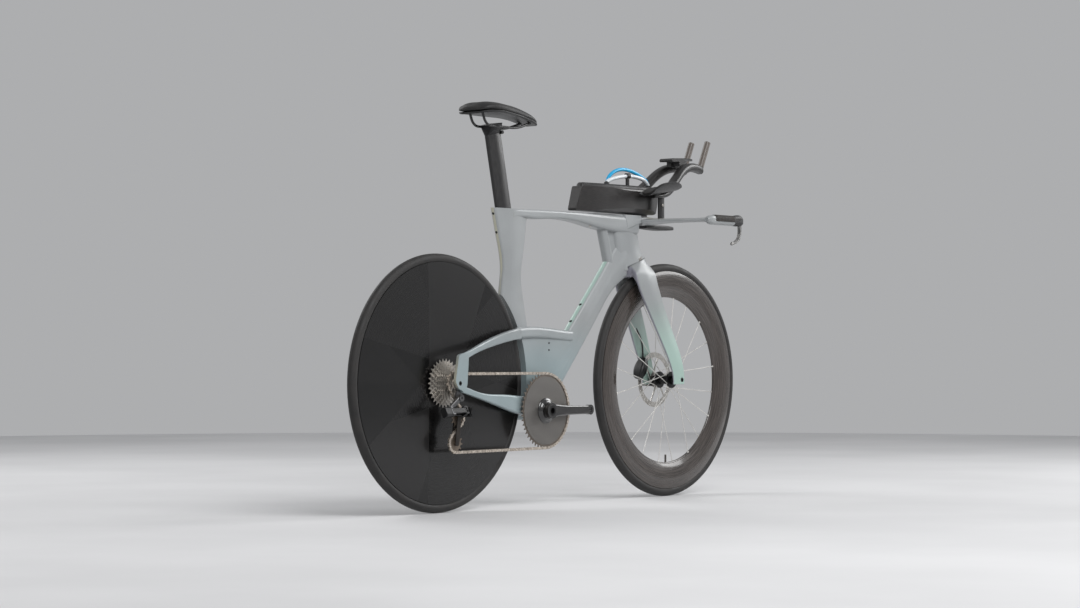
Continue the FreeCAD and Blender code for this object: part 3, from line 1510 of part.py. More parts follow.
def derailleur_b_knuckle():
    """The fixed knuckle, bolted to the hanger and reaching back to the links."""
    pieces = fork_end(LINK_REAR, LINK_ALONG * -1)
    outer = HANGER_POINT - Y * KNUCKLE_BOSS_LENGTH
    pieces.append(rod(HANGER_POINT, outer, KNUCKLE_BOSS_RADIUS))
    pieces.append(rod(HANGER_POINT + Y * HANGER_THICK, outer, HANGER_BOLT_RADIUS))
    rise = LINK_AXIS * (LINK_WIDTH / 2 + RUN_GAP + EAR_THICK / 2)
    foot = LINK_REAR + LINK_STEP / 2 - LINK_ALONG * (LINK_RADIUS + EAR_MARGIN) + rise
    head = (HANGER_POINT + outer) / 2
    along = unit(foot - head)
    across = unit(along.cross(Y))
    wires = [block_section(at, across, across.cross(along), deep * KNUCKLE_BOSS_RADIUS,
                           KNUCKLE_BOSS_LENGTH * KNUCKLE_ARM_share)
             for at, deep in zip((head, foot), KNUCKLE_DEPTH_shares)]
    pieces.append(loft(wires, True).cut(link_room(LINK_REAR)))
    key = rod(outer, outer + Y * (KNUCKLE_BOSS_LENGTH / 2), HANGER_BOLT_RADIUS / 2)
    return fused(pieces).cut(key)


def derailleur_battery(knuckle):
    span = LINK_OFFSET + 2 * LINK_RADIUS
    start = LINK_REAR + LINK_STEP / 2 - LINK_ALONG * (LINK_RADIUS + EAR_MARGIN)
    face = Part.Face(block_section(start, LINK_AXIS, TRAVEL, BATTERY_HEIGHT, span))
    return face.extrude(LINK_ALONG * -BATTERY_LENGTH).cut(knuckle)


def derailleur_p_knuckle():
    """The moving knuckle, with the round housing that the cage turns in."""
    pieces = fork_end(LINK_FRONT, LINK_ALONG)
    inner = CAGE_PIVOT - Y * (-CHAIN_SIDE + CAGE_GAP / 2 + CAGE_PLATE + SEAM_GAP)
    outer = inner - Y * HOUSING_LENGTH
    pieces.append(rod(inner, outer, HOUSING_RADIUS))
    pieces.append(rod(outer, outer - Y * EAR_THICK, HOUSING_RADIUS * HOUSING_CAP_share))
    bore = rod(inner, inner - Y * (CAGE_SHAFT_LENGTH + RUN_GAP), CAGE_SHAFT_RADIUS + BEARING_GAP)
    side = 2 * LINK_LENGTH
    room = Part.makeBox(2 * side, side, 2 * side, inner - vec(side, 0, side))
    return fused(pieces).cut([bore, room])


def arm_plate(points, low, high):
    """A flat plate of rounds joined by tapered strips; points are (centre, radius)."""
    pieces = []
    for centre, radius in points:
        pieces.append(rod(vec(centre.x, low, centre.z), vec(centre.x, high, centre.z), radius))
    for (a, ra), (b, rb) in zip(points, points[1:]):
        along = unit(vec(b.x - a.x, 0, b.z - a.z))
        across = vec(-along.z, 0, along.x)
        corners = [a + across * ra, b + across * rb, b - across * rb, a - across * ra]
        corners = [vec(corner.x, low, corner.z) for corner in corners]
        pieces.append(Part.Face(Part.makePolygon(corners + corners[:1])).extrude(Y * (high - low)))
    return fused(pieces)


UPPER_PULLEY, LOWER_PULLEY = pulley_centres(CAGE_SWING)


def derailleur_cage():
    """Two plates either side of the pulleys, their bolts, and the pivot shaft."""
    half = CAGE_WIDTH / 2
    near = CHAIN_SIDE - CAGE_GAP / 2
    far = CHAIN_SIDE + CAGE_GAP / 2
    eye = HOUSING_RADIUS * CAGE_EYE_share
    pulleys = ((UPPER_PULLEY, half), (LOWER_PULLEY, half))
    outer = arm_plate(((CAGE_PIVOT, eye), *pulleys), near - CAGE_PLATE, near)
    inner = arm_plate(pulleys, far, far + CAGE_PLATE)
    bolts = [rod(at + Y * (near - CAGE_PLATE), at + Y * (far + CAGE_PLATE), PULLEY_BOLT_RADIUS)
             for at in (UPPER_PULLEY, LOWER_PULLEY)]
    face = CAGE_PIVOT + Y * near
    shaft = rod(face, face - Y * (CAGE_PLATE + SEAM_GAP + CAGE_SHAFT_LENGTH), CAGE_SHAFT_RADIUS)
    return fused([outer, inner, shaft] + bolts)


def pulley(centre, phase):
    """A toothed jockey wheel with a wide hub."""
    wheel = toothed(centre, PULLEY_TEETH, phase, CHAIN_SIDE, PULLEY_THICK)
    half = CAGE_GAP / 2 - RUN_GAP
    low = centre + Y * (CHAIN_SIDE - half)
    high = centre + Y * (CHAIN_SIDE + half)
    body = fused([wheel, rod(low, high, PULLEY_HUB_RADIUS)])
    return body.cut(rod(low, high, PULLEY_BOLT_RADIUS + BEARING_GAP))


# Fork

def blade_section(height, place, chord, side, thick):
    crown = steer(CROWN_TOP, 0)
    origin = vec(between(FRONT_AXLE.x, crown.x, place), side * FRONT_DROPOUT_WIDTH,
                 between(FRONT_AXLE.z - FORK_TIP_DROP, crown.z, height))
    half = chord * FORK_CHORD / 2
    return tube_section(origin, X, Y, -half, half, thick * FORK_BLADE_THICK, *BLADE_SECTION_shares)


def fork():
    """Crown, two blades and the steerer in one piece, with an arch over the tyre."""
    blades = both_sides(loft([blade_section(*station) for station in BLADE_shares]))
    top = steer(CROWN_TOP - SEAM_GAP, 0)
    rear = -CROWN_CHORD * CROWN_REAR_share
    wires = [tube_section(top, STEER_FORE, Y, rear, rear + CROWN_CHORD, CROWN_WIDTH, *CROWN_SECTION_shares)]
    crown_top = steer(CROWN_TOP, 0)
    for height, place, chord, width in CROWN_shares:
        origin = vec(between(FRONT_AXLE.x, crown_top.x, place), 0,
                     between(FRONT_AXLE.z - FORK_TIP_DROP, crown_top.z, height))
        half = chord * CROWN_CHORD / 2
        wires.append(tube_section(origin, X, Y, -half, half, width * CROWN_WIDTH, *CROWN_SECTION_shares))
    crown = loft(wires)
    low, _ = headset_seats()
    steerer = [
        rod(steer(CROWN_TOP - OVERRUN / 2, 0), steer(low[1], 0), LOWER_STEERER_RADIUS),
        rod(steer(CROWN_TOP - OVERRUN / 2, 0), steer(STEM_SEAT + STEERER_PROUD, 0), STEERER_RADIUS),
    ]
    whole = fused(blades + [crown] + steerer)
    arch = Y * (FORK_ARCH_WIDTH / 2)
    reach = Y * (FRONT_DROPOUT_WIDTH / 2 + OVERRUN)
    return whole.cut([
        rod(FRONT_AXLE - arch, FRONT_AXLE + arch, WHEEL_RADIUS + FORK_ARCH_CLEARANCE),
        rod(FRONT_AXLE - reach, FRONT_AXLE + reach, AXLE_RADIUS),
    ])


# Base bar and cockpit

def wing_section(side, centre, chord, thick, rise):
    origin = ahead(centre, side * BAR_HALF_WIDTH, BAR_HEIGHT + rise * BAR_ROOT_THICK)
    half = chord * BAR_ROOT_CHORD / 2
    return tube_section(origin, X, Z, -half, half, thick * BAR_ROOT_THICK, *WING_SECTION_shares)


def horn_section(place, width, depth):
    origin = ahead(HORN_REAR + place * HORN_LENGTH, BAR_HALF_WIDTH, BAR_HEIGHT)
    return block_section(origin, Z, Y, depth * HORN_DEPTH, width * HORN_WIDTH, ROUND_share)


def horn():
    """A rounded heel that runs on into a straight forward bar."""
    ahead = (1 - HORN_shares[-1][0]) * HORN_LENGTH
    straight = Part.Face(horn_section(*HORN_shares[-1])).extrude(X * ahead)
    return fused([loft([horn_section(*station) for station in HORN_shares]), straight])


def base_bar(fork_piece):
    """Stem and wing in one piece, with a forward horn at each end."""
    half = [(side, HORN_AXIS_REACH + centre * BAR_SWEEP, chord, thick, rise)
            for side, centre, chord, thick, rise in WING_shares]
    stations = [(-side, *rest) for side, *rest in reversed(half[1:])] + half
    wing = loft([wing_section(*station) for station in stations])
    low = STEM_SEAT + SEAM_GAP
    top = TOP_TUBE_HEIGHT - TOP_TUBE_shares[-1][1] * TOP_TUBE_DEPTH
    hub = rod(steer(low, 0), steer(low + 2 * OVERRUN, 0), STEM_HUB_RADIUS)
    slab = Part.makeBox(WHEELBASE, TOP_TUBE_WIDTH, TOP_TUBE_WIDTH,
                        vec(0, -TOP_TUBE_WIDTH / 2, top - TOP_TUBE_WIDTH))
    wires = []
    for place, drop, deep, width in STEM_shares:
        origin = vec(steer_axis_x(BAR_HEIGHT) + place * BAR_ROOT_CHORD, 0, top - drop * TOP_TUBE_DEPTH)
        wires.append(block_section(origin, Z, Y, deep * TOP_TUBE_DEPTH, width * TOP_TUBE_WIDTH, ROUND_share))
    under = rod(steer(low, 0), steer(low - 2 * OVERRUN, 0), STEM_HUB_RADIUS + SEAM_GAP)
    nose = loft(wires).cut(under)
    whole = fused([wing, hub.common(slab), nose] + both_sides(horn()))
    return whole.cut(fork_piece)


def bar_grips(bar):
    wires = [block_section(ahead(HORN_REAR + place * HORN_LENGTH, BAR_HALF_WIDTH, BAR_HEIGHT), Z, Y,
                           HORN_DEPTH + 2 * GRIP_THICK * swell, HORN_WIDTH + 2 * GRIP_THICK * swell,
                           ROUND_share)
             for place, swell in GRIP_shares]
    skin = loft(wires, True).cut(bar)
    keep = Part.makeBox(WHEELBASE, HORN_WIDTH * 2, HORN_DEPTH,
                        vec(0, BAR_HALF_WIDTH - HORN_WIDTH, BAR_HEIGHT - HORN_DEPTH * GRIP_SKIRT_share))
    return both_sides(skin.common(keep))


HOUSING_FRONT = HORN_REAR + HORN_LENGTH
LEVER_PIVOT = ahead(HOUSING_FRONT + LEVER_HOUSING_LENGTH * LEVER_PIVOT_share, BAR_HALF_WIDTH, BAR_HEIGHT)


def lever_housing(bar):
    """A hood on the end of a horn, slotted for its lever, with the pivot pin."""
    wires = []
    for place, width, depth, rise in LEVER_HOUSING_shares:
        origin = ahead(HOUSING_FRONT + place * LEVER_HOUSING_LENGTH, BAR_HALF_WIDTH,
                       BAR_HEIGHT + rise * LEVER_HOUSING_DEPTH)
        wires.append(block_section(origin, Z, Y, depth * LEVER_HOUSING_DEPTH, width * LEVER_HOUSING_WIDTH,
                                   ROUND_share))
    hood = loft(wires).cut(bar)
    width = LEVER_WIDTH + 2 * RUN_GAP
    slot = Part.makeBox(LEVER_HOUSING_LENGTH, width, LEVER_HOUSING_DEPTH,
                        LEVER_PIVOT + vec(-LEVER_BOSS_RADIUS - SEAM_GAP, -width / 2,
                                          LEVER_BOSS_RADIUS + SEAM_GAP - LEVER_HOUSING_DEPTH))
    pin = Y * (LEVER_HOUSING_WIDTH * LEVER_PIN_share)
    return fused([hood.cut(slot), rod(LEVER_PIVOT - pin, LEVER_PIVOT + pin, LEVER_PIN_RADIUS)])


def brake_lever():
    """A curved blade with a ball at its tip, bored for the pivot pin."""
    pairs = [(x * LEVER_REACH, z * LEVER_REACH) for x, z in LEVER_shares]
    half = LEVER_WIDTH / 2
    blade = prism(pairs, -half, half, SOFT_ROUND_share, LEVER_PIVOT)
    boss = rod(LEVER_PIVOT - Y * half, LEVER_PIVOT + Y * half, LEVER_BOSS_RADIUS)
    tip = LEVER_PIVOT + vec(LEVER_TIP_share[0] * LEVER_REACH, 0, LEVER_TIP_share[1] * LEVER_REACH)
    ball = Part.makeSphere(LEVER_TIP_RADIUS, tip, Y)
    bore = rod(LEVER_PIVOT - Y * LEVER_WIDTH, LEVER_PIVOT + Y * LEVER_WIDTH, LEVER_PIN_RADIUS + BEARING_GAP)
    return fused([blade, boss, ball]).cut(bore)


TIP_FOOT = ahead(TIP_FOOT_REACH, TIP_SPACING / 2, BAR_HEIGHT + TIP_FOOT_RISE)
TIP_ALONG = polar(TIP_ANGLE)
TIP_END = TIP_FOOT + TIP_ALONG * TIP_LENGTH


def extension():
    """One left-hand extension: a swept body with an upturned round tip."""
    wires = []
    for x, side, rise, width, depth in EXTENSION_STATIONS:
        wires.append(block_section(ahead(x, side, BAR_HEIGHT + rise), Z, Y, depth, width, ROUND_share))
    tip = rod(TIP_FOOT - TIP_ALONG * TIP_RADIUS, TIP_END, TIP_RADIUS)
    ball = Part.makeSphere(TIP_RADIUS * TIP_HEEL_share, TIP_FOOT)
    floor = TIP_END - TIP_ALONG * (BUTTON_LENGTH + BUTTON_STROKE + RUN_GAP)
    pocket = rod(floor, TIP_END + TIP_ALONG * OVERRUN, BUTTON_RADIUS + BEARING_GAP)
    return fused([loft(wires), tip, ball]).cut(pocket)


def shift_button():
    return rod(TIP_END - TIP_ALONG * BUTTON_LENGTH, TIP_END + TIP_ALONG * BUTTON_PROUD, BUTTON_RADIUS)


def trough_section(place, radius, wall, low, high):
    """A curved strip across the forearm: two arcs between two angles from straight down."""
    along = ahead(CUP_REAR + place * CUP_LENGTH, CUP_SPACING / 2, BAR_HEIGHT + CUP_RISE + CUP_RADIUS)
    centre = along + Z * (place * CUP_LENGTH * math.tan(math.radians(CUP_TILT)))

    def at(reach, degrees):
        angle = math.radians(degrees)
        return centre + vec(0, reach * math.sin(angle), -reach * math.cos(angle))

    middle = (low + high) / 2
    edges = [
        Part.Arc(at(radius, low), at(radius, middle), at(radius, high)).toShape(),
        Part.LineSegment(at(radius, high), at(radius - wall, high)).toShape(),
        Part.Arc(at(radius - wall, high), at(radius - wall, middle), at(radius - wall, low)).toShape(),
        Part.LineSegment(at(radius - wall, low), at(radius, low)).toShape(),
    ]
    return Part.Wire(edges)


def arm_cup():
    return loft([trough_section(place, CUP_RADIUS, CUP_WALL, low * CUP_INNER_ANGLE, high * CUP_OUTER_ANGLE)
                 for place, low, high, _ in CUP_shares])


def arm_room():
    """The space that the cup and the forearm take, left clear by the extension."""
    low, high = CUP_INNER_ANGLE, CUP_OUTER_ANGLE
    deep = CUP_RADIUS * ARM_ROOM_share
    return loft([trough_section(place, CUP_RADIUS, deep, low, high) for place in (0, 1)], True)


def arm_pad():
    """A soft pad lying in the cup, thickest at its middle."""
    inset = CUP_RADIUS - CUP_WALL
    wires = []
    for place, low, high, thick in CUP_shares:
        inside = between(1 / 2, place, PAD_LENGTH_share)
        first = low * CUP_INNER_ANGLE * PAD_LENGTH_share
        last = high * CUP_OUTER_ANGLE * PAD_LENGTH_share
        wires.append(trough_section(inside, inset, thick * PAD_THICK, first, last))
    return loft(wires)


def riser_post():
    foot = ahead(RISER_REACH, RISER_SPACING / 2, BAR_HEIGHT)
    wires = [tube_section(foot + Z * height, X, Y, -RISER_CHORD / 2, RISER_CHORD / 2, RISER_WIDTH,
                          *RISER_SECTION_shares)
             for height in (0, RISER_RISE)]
    return loft(wires, True)


def riser_bolt(key_share):
    """A bolt in the riser's outer side, with a key way of a share of its radius."""
    height = BAR_HEIGHT + RISER_RISE * RISER_BOLT_share
    head = ahead(RISER_REACH, RISER_SPACING / 2 + RISER_WIDTH / 2, height)
    shank = rod(head - Y * (RISER_WIDTH / 2), head + Y * SEAM_GAP, CLAMP_BOLT_RADIUS)
    if not key_share:
        return shank
    return shank.cut(rod(head - Y * (RISER_WIDTH / 4), head + Y * SEAM_GAP, CLAMP_BOLT_RADIUS * key_share))


def computer_mount():
    """A plate between the extensions, carried on a foot on each."""
    base = ahead(PLATE_REACH, 0, BAR_HEIGHT + PLATE_RISE)
    pairs = [(x * PLATE_LENGTH, z * PLATE_THICK) for x, z in PLATE_shares]
    plate = prism(pairs, -PLATE_WIDTH / 2, PLATE_WIDTH / 2, SOFT_ROUND_share, base)
    foot_x = PLATE_LENGTH * PLATE_FOOT_share
    foot = Part.makeBox(foot_x, EXTENSION_WIDTH / 2, PLATE_FOOT_DROP,
                        base + vec(foot_x, PLATE_WIDTH / 2 - EXTENSION_WIDTH / 2, -PLATE_FOOT_DROP))
    return fused([plate] + both_sides(foot))


def stem_nose_cover():
    wires = []
    for place, width, thick in COVER_shares:
        origin = ahead(COVER_REACH + place * COVER_LENGTH, 0, BAR_HEIGHT - COVER_DROP)
        wires.append(block_section(origin, Z, Y, thick * COVER_THICK, width * COVER_WIDTH, SOFT_ROUND_share))
    return loft(wires)


# Hydration box

BOX_FLOOR = TOP_TUBE_HEIGHT - TOP_TUBE_shares[-1][1] * TOP_TUBE_DEPTH + BOX_GAP
BOX_TOP = BOX_FLOOR + BOX_HEIGHT


def box_plan(z, rear_share, front_share, wide_share):
    """The box's outline from above, between two places along it."""
    points = []
    first, last = BOX_PLAN_shares[0][0], BOX_PLAN_shares[4][0]
    for x, y in BOX_PLAN_shares:
        place = between(rear_share, front_share, (x - first) / (last - first))
        points.append(ahead(BOX_REAR + place * BOX_LENGTH, y * wide_share * BOX_WIDTH, z))
    return rounded_wire(points, SOFT_ROUND_share)


def hydration_box(bar):
    """The body common to a side, an end and a plan outline, with a foot on the stem."""
    side = [(x * BOX_LENGTH, z * BOX_HEIGHT) for x, z in BOX_SIDE_shares]
    body = prism(side, -BOX_WIDTH, BOX_WIDTH, SOFT_ROUND_share / 3, ahead(BOX_REAR, 0, BOX_FLOOR))
    rear = BOX_REAR - OVERRUN
    end = [ahead(rear, y * BOX_WIDTH, BOX_FLOOR + z * BOX_HEIGHT) for y, z in BOX_END_shares]
    along = Part.Face(rounded_wire(end, SOFT_ROUND_share)).extrude(X * (BOX_LENGTH + 3 * OVERRUN))
    plan = box_plan(BOX_FLOOR - OVERRUN, BOX_PLAN_shares[0][0], BOX_PLAN_shares[4][0], 1)
    upright = Part.Face(plan).extrude(Z * (2 * BOX_HEIGHT))
    shell = body.common(upright).common(along)
    foot = Part.makeBox(BOX_FOOT_LENGTH, BOX_FOOT_WIDTH, 3 * BOX_GAP,
                        ahead(BOX_FOOT_REACH, -BOX_FOOT_WIDTH / 2, BOX_FLOOR - 2 * BOX_GAP))
    return fused([shell, foot]).cut(bar)


def over_lid(path):
    return [ahead(x, y, BOX_TOP + z) for x, y, z in path]


def hydration_lid():
    """A low lid with three hose ports and a clip that steadies the upper hose."""
    wires = [box_plan(BOX_TOP + rise * LID_THICK, rear, front, width)
             for rise, rear, front, width in LID_shares]
    pieces = [loft(wires, True)]
    top = BOX_TOP + LID_THICK / 2
    for path in (DRINK_HOSE_PATH, REFILL_HOSE_PATH):
        for x, y, z in (path[0], path[-1]):
            pieces.append(rod(ahead(x, y, top), ahead(x, y, BOX_TOP + z), PORT_RADIUS))
    near, at, far = over_lid(REFILL_HOSE_PATH[HOSE_CLIP_INDEX - 1:HOSE_CLIP_INDEX + 2])
    along = unit(far - near) * PORT_RADIUS
    pieces.append(rod(at - along, at + along, REFILL_DIAMETER / 2 + BOX_WALL))
    pieces.append(rod(vec(at.x, at.y, top), at, REFILL_DIAMETER / 2))
    return fused(pieces)


def hose(points, diameter, name):
    return bent_rod(points, diameter / 2, name)


# Seat

def seatpost():
    bottom = seat_point(TOP_TUBE_HEIGHT - POST_INSERTION)
    return Part.Face(post_profile(bottom, 0)).extrude(seat_point(POST_TOP) - bottom)


def saddle_x(place):
    return seat_axis_x(SADDLE_HEIGHT) - SADDLE_SETBACK + place * SADDLE_LENGTH


def saddle_station(place, width, top, thick):
    x = saddle_x(place)
    return x, width * SADDLE_WIDTH / 2, SADDLE_HEIGHT - top * SADDLE_NOSE_DROP, thick * SADDLE_PAD_THICK


def saddle_pad_body():
    wires = []
    for station in SADDLE_shares:
        x, half, top, thick = saddle_station(*station)
        low = top - thick
        shoulder = between(low, top, SADDLE_SHOULDER_share)
        crown = half * SADDLE_CROWN_share
        points = ((-half, low), (-half, shoulder), (-crown, top),
                  (crown, top), (half, shoulder), (half, low))
        wires.append(rounded_wire([vec(x, y, z) for y, z in points], ROUND_share))
    return loft(wires)


def saddle_groove():
    """The relief channel down the middle of the pad."""
    wires = []
    for station in SADDLE_shares[2:]:
        x, _, top, thick = saddle_station(*station)
        deep = thick * GROOVE_DEPTH_share
        wires.append(block_section(vec(x, 0, top), Z, Y, deep, GROOVE_WIDTH, ROUND_share))
    return loft(wires)


def saddle_shell(pad):
    wires = []
    for station in SADDLE_shares:
        x, half, top, thick = saddle_station(*station)
        origin = vec(x, 0, top - thick)
        width = 2 * half * SHELL_WIDTH_share
        wires.append(block_section(origin, Z, Y, 2 * SADDLE_SHELL_THICK, width, ROUND_share))
    return loft(wires).cut(pad)


def saddle_rail():
    points = []
    for place, side, height in RAIL_shares:
        points.append(vec(saddle_x(place), side * RAIL_SPACING / 2, RAIL_HEIGHT + height * SADDLE_NOSE_DROP))
    return bent_rod(points, RAIL_RADIUS, "saddle rail")


def saddle_clamp(rails, post):
    """The head on the post that holds both rails."""
    foot = seat_point(POST_TOP)
    head = seat_point(RAIL_HEIGHT + RAIL_RADIUS * 2)
    waist, crown = [POST_CHORD * share for share in CLAMP_CHORD_shares]
    wires = [
        tube_section(foot, SEAT_FORE, Y, -POST_CHORD / 2, POST_CHORD / 2, POST_WIDTH, *POST_SECTION_shares),
        tube_section(between(foot, head, CLAMP_MIDDLE_share), SEAT_FORE, Y, -waist, waist,
                     RAIL_SPACING, *CLAMP_SECTION_shares),
        tube_section(head, SEAT_FORE, Y, -crown, crown, RAIL_SPACING + 5 * RAIL_RADIUS,
                     *CLAMP_SECTION_shares),
    ]
    barrel = foot + SEAT_FORE * (POST_CHORD / 2)
    half = Y * (POST_WIDTH / 2)
    whole = fused([loft(wires, True), rod(barrel - half, barrel + half, RAIL_RADIUS * BARREL_share)])
    return whole.cut(rails + [post])


# Every piece, built in order and written as one STEP file each

pieces = {}
pieces["frame"] = frame()
pieces["headset_bearings"] = headset_bearings()
pieces["bottom_bracket_cups"] = bottom_bracket_cups()
pieces["bottle_boss_inserts"] = bottle_boss_inserts()
pieces["frame_bolts"] = frame_bolts()
pieces["derailleur_hanger"] = derailleur_hanger().cut(pieces["frame"])
pieces["rear_thru_axle"] = thru_axle(REAR_AXLE, REAR_DROPOUT_WIDTH, DROPOUT_THICK)
body, *pads = caliper(REAR_AXLE, REAR_ROTOR_RADIUS, REAR_ROTOR_SIDE, REAR_CALIPER_ANGLE)
pieces["rear_brake_caliper"] = [body.cut(pieces["frame"])] + pads
pieces["chain"] = chain()
pieces["derailleur_b_knuckle"] = derailleur_b_knuckle()
pieces["derailleur_battery"] = derailleur_battery(pieces["derailleur_b_knuckle"])
pieces["derailleur_outer_link"] = link(LINK_REAR)
pieces["derailleur_inner_link"] = link(LINK_REAR + LINK_STEP)
pieces["derailleur_p_knuckle"] = derailleur_p_knuckle()
pieces["derailleur_cage"] = derailleur_cage()
pieces["upper_pulley"] = pulley(UPPER_PULLEY, ROLLER_PHASES[2])
pieces["lower_pulley"] = pulley(LOWER_PULLEY, ROLLER_PHASES[1])
pieces["fork"] = fork()
pieces["base_bar"] = base_bar(pieces["fork"])
pieces["bar_grips"] = bar_grips(pieces["base_bar"])
pieces["lever_housings"] = both_sides(lever_housing(pieces["base_bar"]))
pieces["brake_lever_left"] = brake_lever()
pieces["brake_lever_right"] = mirrored(brake_lever())
cup = arm_cup()
bolt = riser_bolt(BOLT_KEY_share)
bar_end = extension().cut(arm_room())
pieces["extensions"] = both_sides(bar_end)
pieces["riser_posts"] = both_sides(riser_post().cut([pieces["base_bar"], bar_end, riser_bolt(0), cup]))
pieces["cockpit_bolts"] = both_sides(bolt)
pieces["arm_cups"] = both_sides(cup)
pieces["arm_pads"] = both_sides(arm_pad())
pieces["shift_button_left"] = shift_button()
pieces["shift_button_right"] = mirrored(shift_button())
pieces["computer_mount"] = computer_mount().cut(pieces["extensions"])
pieces["stem_nose_cover"] = stem_nose_cover().cut(pieces["base_bar"])
pieces["hydration_box"] = hydration_box(pieces["base_bar"])
pieces["drink_hose"] = hose(over_lid(DRINK_HOSE_PATH), HOSE_DIAMETER, "drink hose")
pieces["refill_hose"] = hose(over_lid(REFILL_HOSE_PATH), REFILL_DIAMETER, "refill hose")
pieces["hydration_lid"] = hydration_lid().cut([pieces["drink_hose"], pieces["refill_hose"]])
body, *pads = caliper(FRONT_AXLE, FRONT_ROTOR_RADIUS, FRONT_ROTOR_SIDE, FRONT_CALIPER_ANGLE)
pieces["front_brake_caliper"] = [body.cut(pieces["fork"])] + pads
brake_line = hose([bike(*point) for point in BRAKE_HOSE_PATH], BRAKE_HOSE_DIAMETER, "front brake hose")
pieces["front_brake_hose"] = brake_line.cut([pieces["fork"], body])
pieces["front_thru_axle"] = thru_axle(FRONT_AXLE, FRONT_DROPOUT_WIDTH, FORK_TIP_THICK)
pieces["front_tyre"] = tyre(FRONT_AXLE)
rim = deep_rim()
pieces["front_rim"] = [rim, valve(rim)]
pieces["front_hub"] = front_hub()
pieces["front_spokes"] = front_spokes(pieces["front_hub"][0], rim)
pieces["front_rotor"] = rotor(FRONT_AXLE, FRONT_ROTOR_RADIUS, FRONT_ROTOR_SIDE, HUB_BODY_RADIUS)
pieces["rear_tyre"] = tyre(REAR_AXLE)
pieces["rear_disc"] = disc_wheel()
pieces["rear_hub"] = rear_hub()
pieces["rear_rotor"] = rotor(REAR_AXLE, REAR_ROTOR_RADIUS, REAR_ROTOR_SIDE, HUB_BODY_RADIUS)
pieces["freehub_body"] = freehub_body()
pieces["cassette_sprockets"] = cassette_sprockets()
pieces["chainring"] = chainring()
pieces["crank_arm_right"] = crank_arm_right()
pieces["crank_arm_left"] = crank_arm_left()
pieces["crank_spindle"] = crank_spindle()
pieces["seatpost"] = seatpost()
pad = saddle_pad_body()
shell = saddle_shell(pad)
rails = [rail.cut([shell, pad]) for rail in both_sides(saddle_rail())]
pieces["saddle_pad"] = pad.cut(saddle_groove())
pieces["saddle_shell"] = shell
pieces["saddle_rails"] = rails
pieces["saddle_clamp"] = saddle_clamp(rails, pieces["seatpost"])

os.makedirs("parts", exist_ok=True)
for name, shape in pieces.items():
    solids = shape if isinstance(shape, list) else [shape]
    whole = solids[0] if len(solids) == 1 else Part.makeCompound(solids)
    print(name, len(whole.Solids), "valid" if whole.isValid() else "NOT VALID", round(whole.Volume))
    whole.exportStep(os.path.join("parts", name + ".step"))
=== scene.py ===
# %% [markdown]
# # A time trial bike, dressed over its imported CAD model
# Every sub-part comes from the CAD pack at its true size and place, in metres: +X is forward, +Y is the
# rider's left, +Z is up. This lesson adds the camera, the light, the hoses, the soft pads and the finishes.

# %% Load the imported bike
import math

import bmesh
import bpy
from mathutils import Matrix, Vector


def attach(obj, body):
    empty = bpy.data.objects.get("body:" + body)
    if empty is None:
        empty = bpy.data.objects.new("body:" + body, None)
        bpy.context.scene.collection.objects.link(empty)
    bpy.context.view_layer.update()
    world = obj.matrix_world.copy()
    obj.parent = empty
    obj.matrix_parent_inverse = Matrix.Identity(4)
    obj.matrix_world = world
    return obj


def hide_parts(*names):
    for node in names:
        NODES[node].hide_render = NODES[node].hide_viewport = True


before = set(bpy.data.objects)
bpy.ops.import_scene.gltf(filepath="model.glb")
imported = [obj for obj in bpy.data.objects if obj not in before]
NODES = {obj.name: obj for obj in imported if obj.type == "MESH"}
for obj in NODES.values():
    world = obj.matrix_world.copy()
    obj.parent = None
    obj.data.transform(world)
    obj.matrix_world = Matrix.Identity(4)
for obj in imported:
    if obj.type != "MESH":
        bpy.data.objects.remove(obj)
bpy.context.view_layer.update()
scene = bpy.context.scene
scene.view_settings.view_transform = "Standard"

# %% [markdown]
# ## Camera
# A long lens low behind the rear wheel gives the photographed view. Its place, heading and focal length were
# solved from the two wheels, whose size is standard, so the CAD model falls on the photographed bike. A shift
# isn't needed, because the horizon's height comes from a slight upward tilt.

# %% Camera behind the rear wheel
EYE = Vector((-5.4872, -4.3402, 0.4210))
HEADING, PITCH = math.radians(38.745), math.radians(1.069)
looking = Vector((math.cos(PITCH) * math.cos(HEADING), math.cos(PITCH) * math.sin(HEADING), math.sin(PITCH)))
lens = bpy.data.cameras.new("photo_camera")
lens.lens, lens.sensor_width = 84.42, 36.0
camera = bpy.data.objects.new("photo_camera", lens)
camera.location = EYE
camera.rotation_euler = looking.to_track_quat("-Z", "Y").to_euler()
scene.collection.objects.link(camera)
scene.camera = camera
print("camera", [round(v, 3) for v in camera.location])

# %% [markdown]
# ## Hoses
# Two reservoir hoses bend over the lid of the drink box from port to port, and a short brake line runs down
# the inside of the left fork blade to its caliper. A stiff hose between two fittings is one smooth curve, so
# each is a NURBS spline on the same route points as its CAD tube. A bevelled curve stays round and keeps its
# length, which a chain of straight cylinders would not. The hose's radius is set on the points and the bevel
# is 1, because a curve's box is widened by the radius of its points.

# %% Routes of the hoses, in millimetres forward of the rear axle
REAR_AXLE_X = -0.5055
DRINK_ROUTE = ((735, 5, 899), (741, 5, 914), (764, 5, 931), (798, 5, 941), (834, 5, 941), (872, 5, 934),
               (906, 5, 923), (928, 5, 911), (935, 5, 896))
REFILL_ROUTE = ((717, -9, 899), (729, -9, 907), (770, -9, 916), (815, -9, 922), (861, -9, 921),
                (902, -9, 913), (914, -9, 899))
BRAKE_ROUTE = ((916, 46, 503), (927, 40, 483), (940, 35, 456), (948, 35, 430), (951, 37, 402))


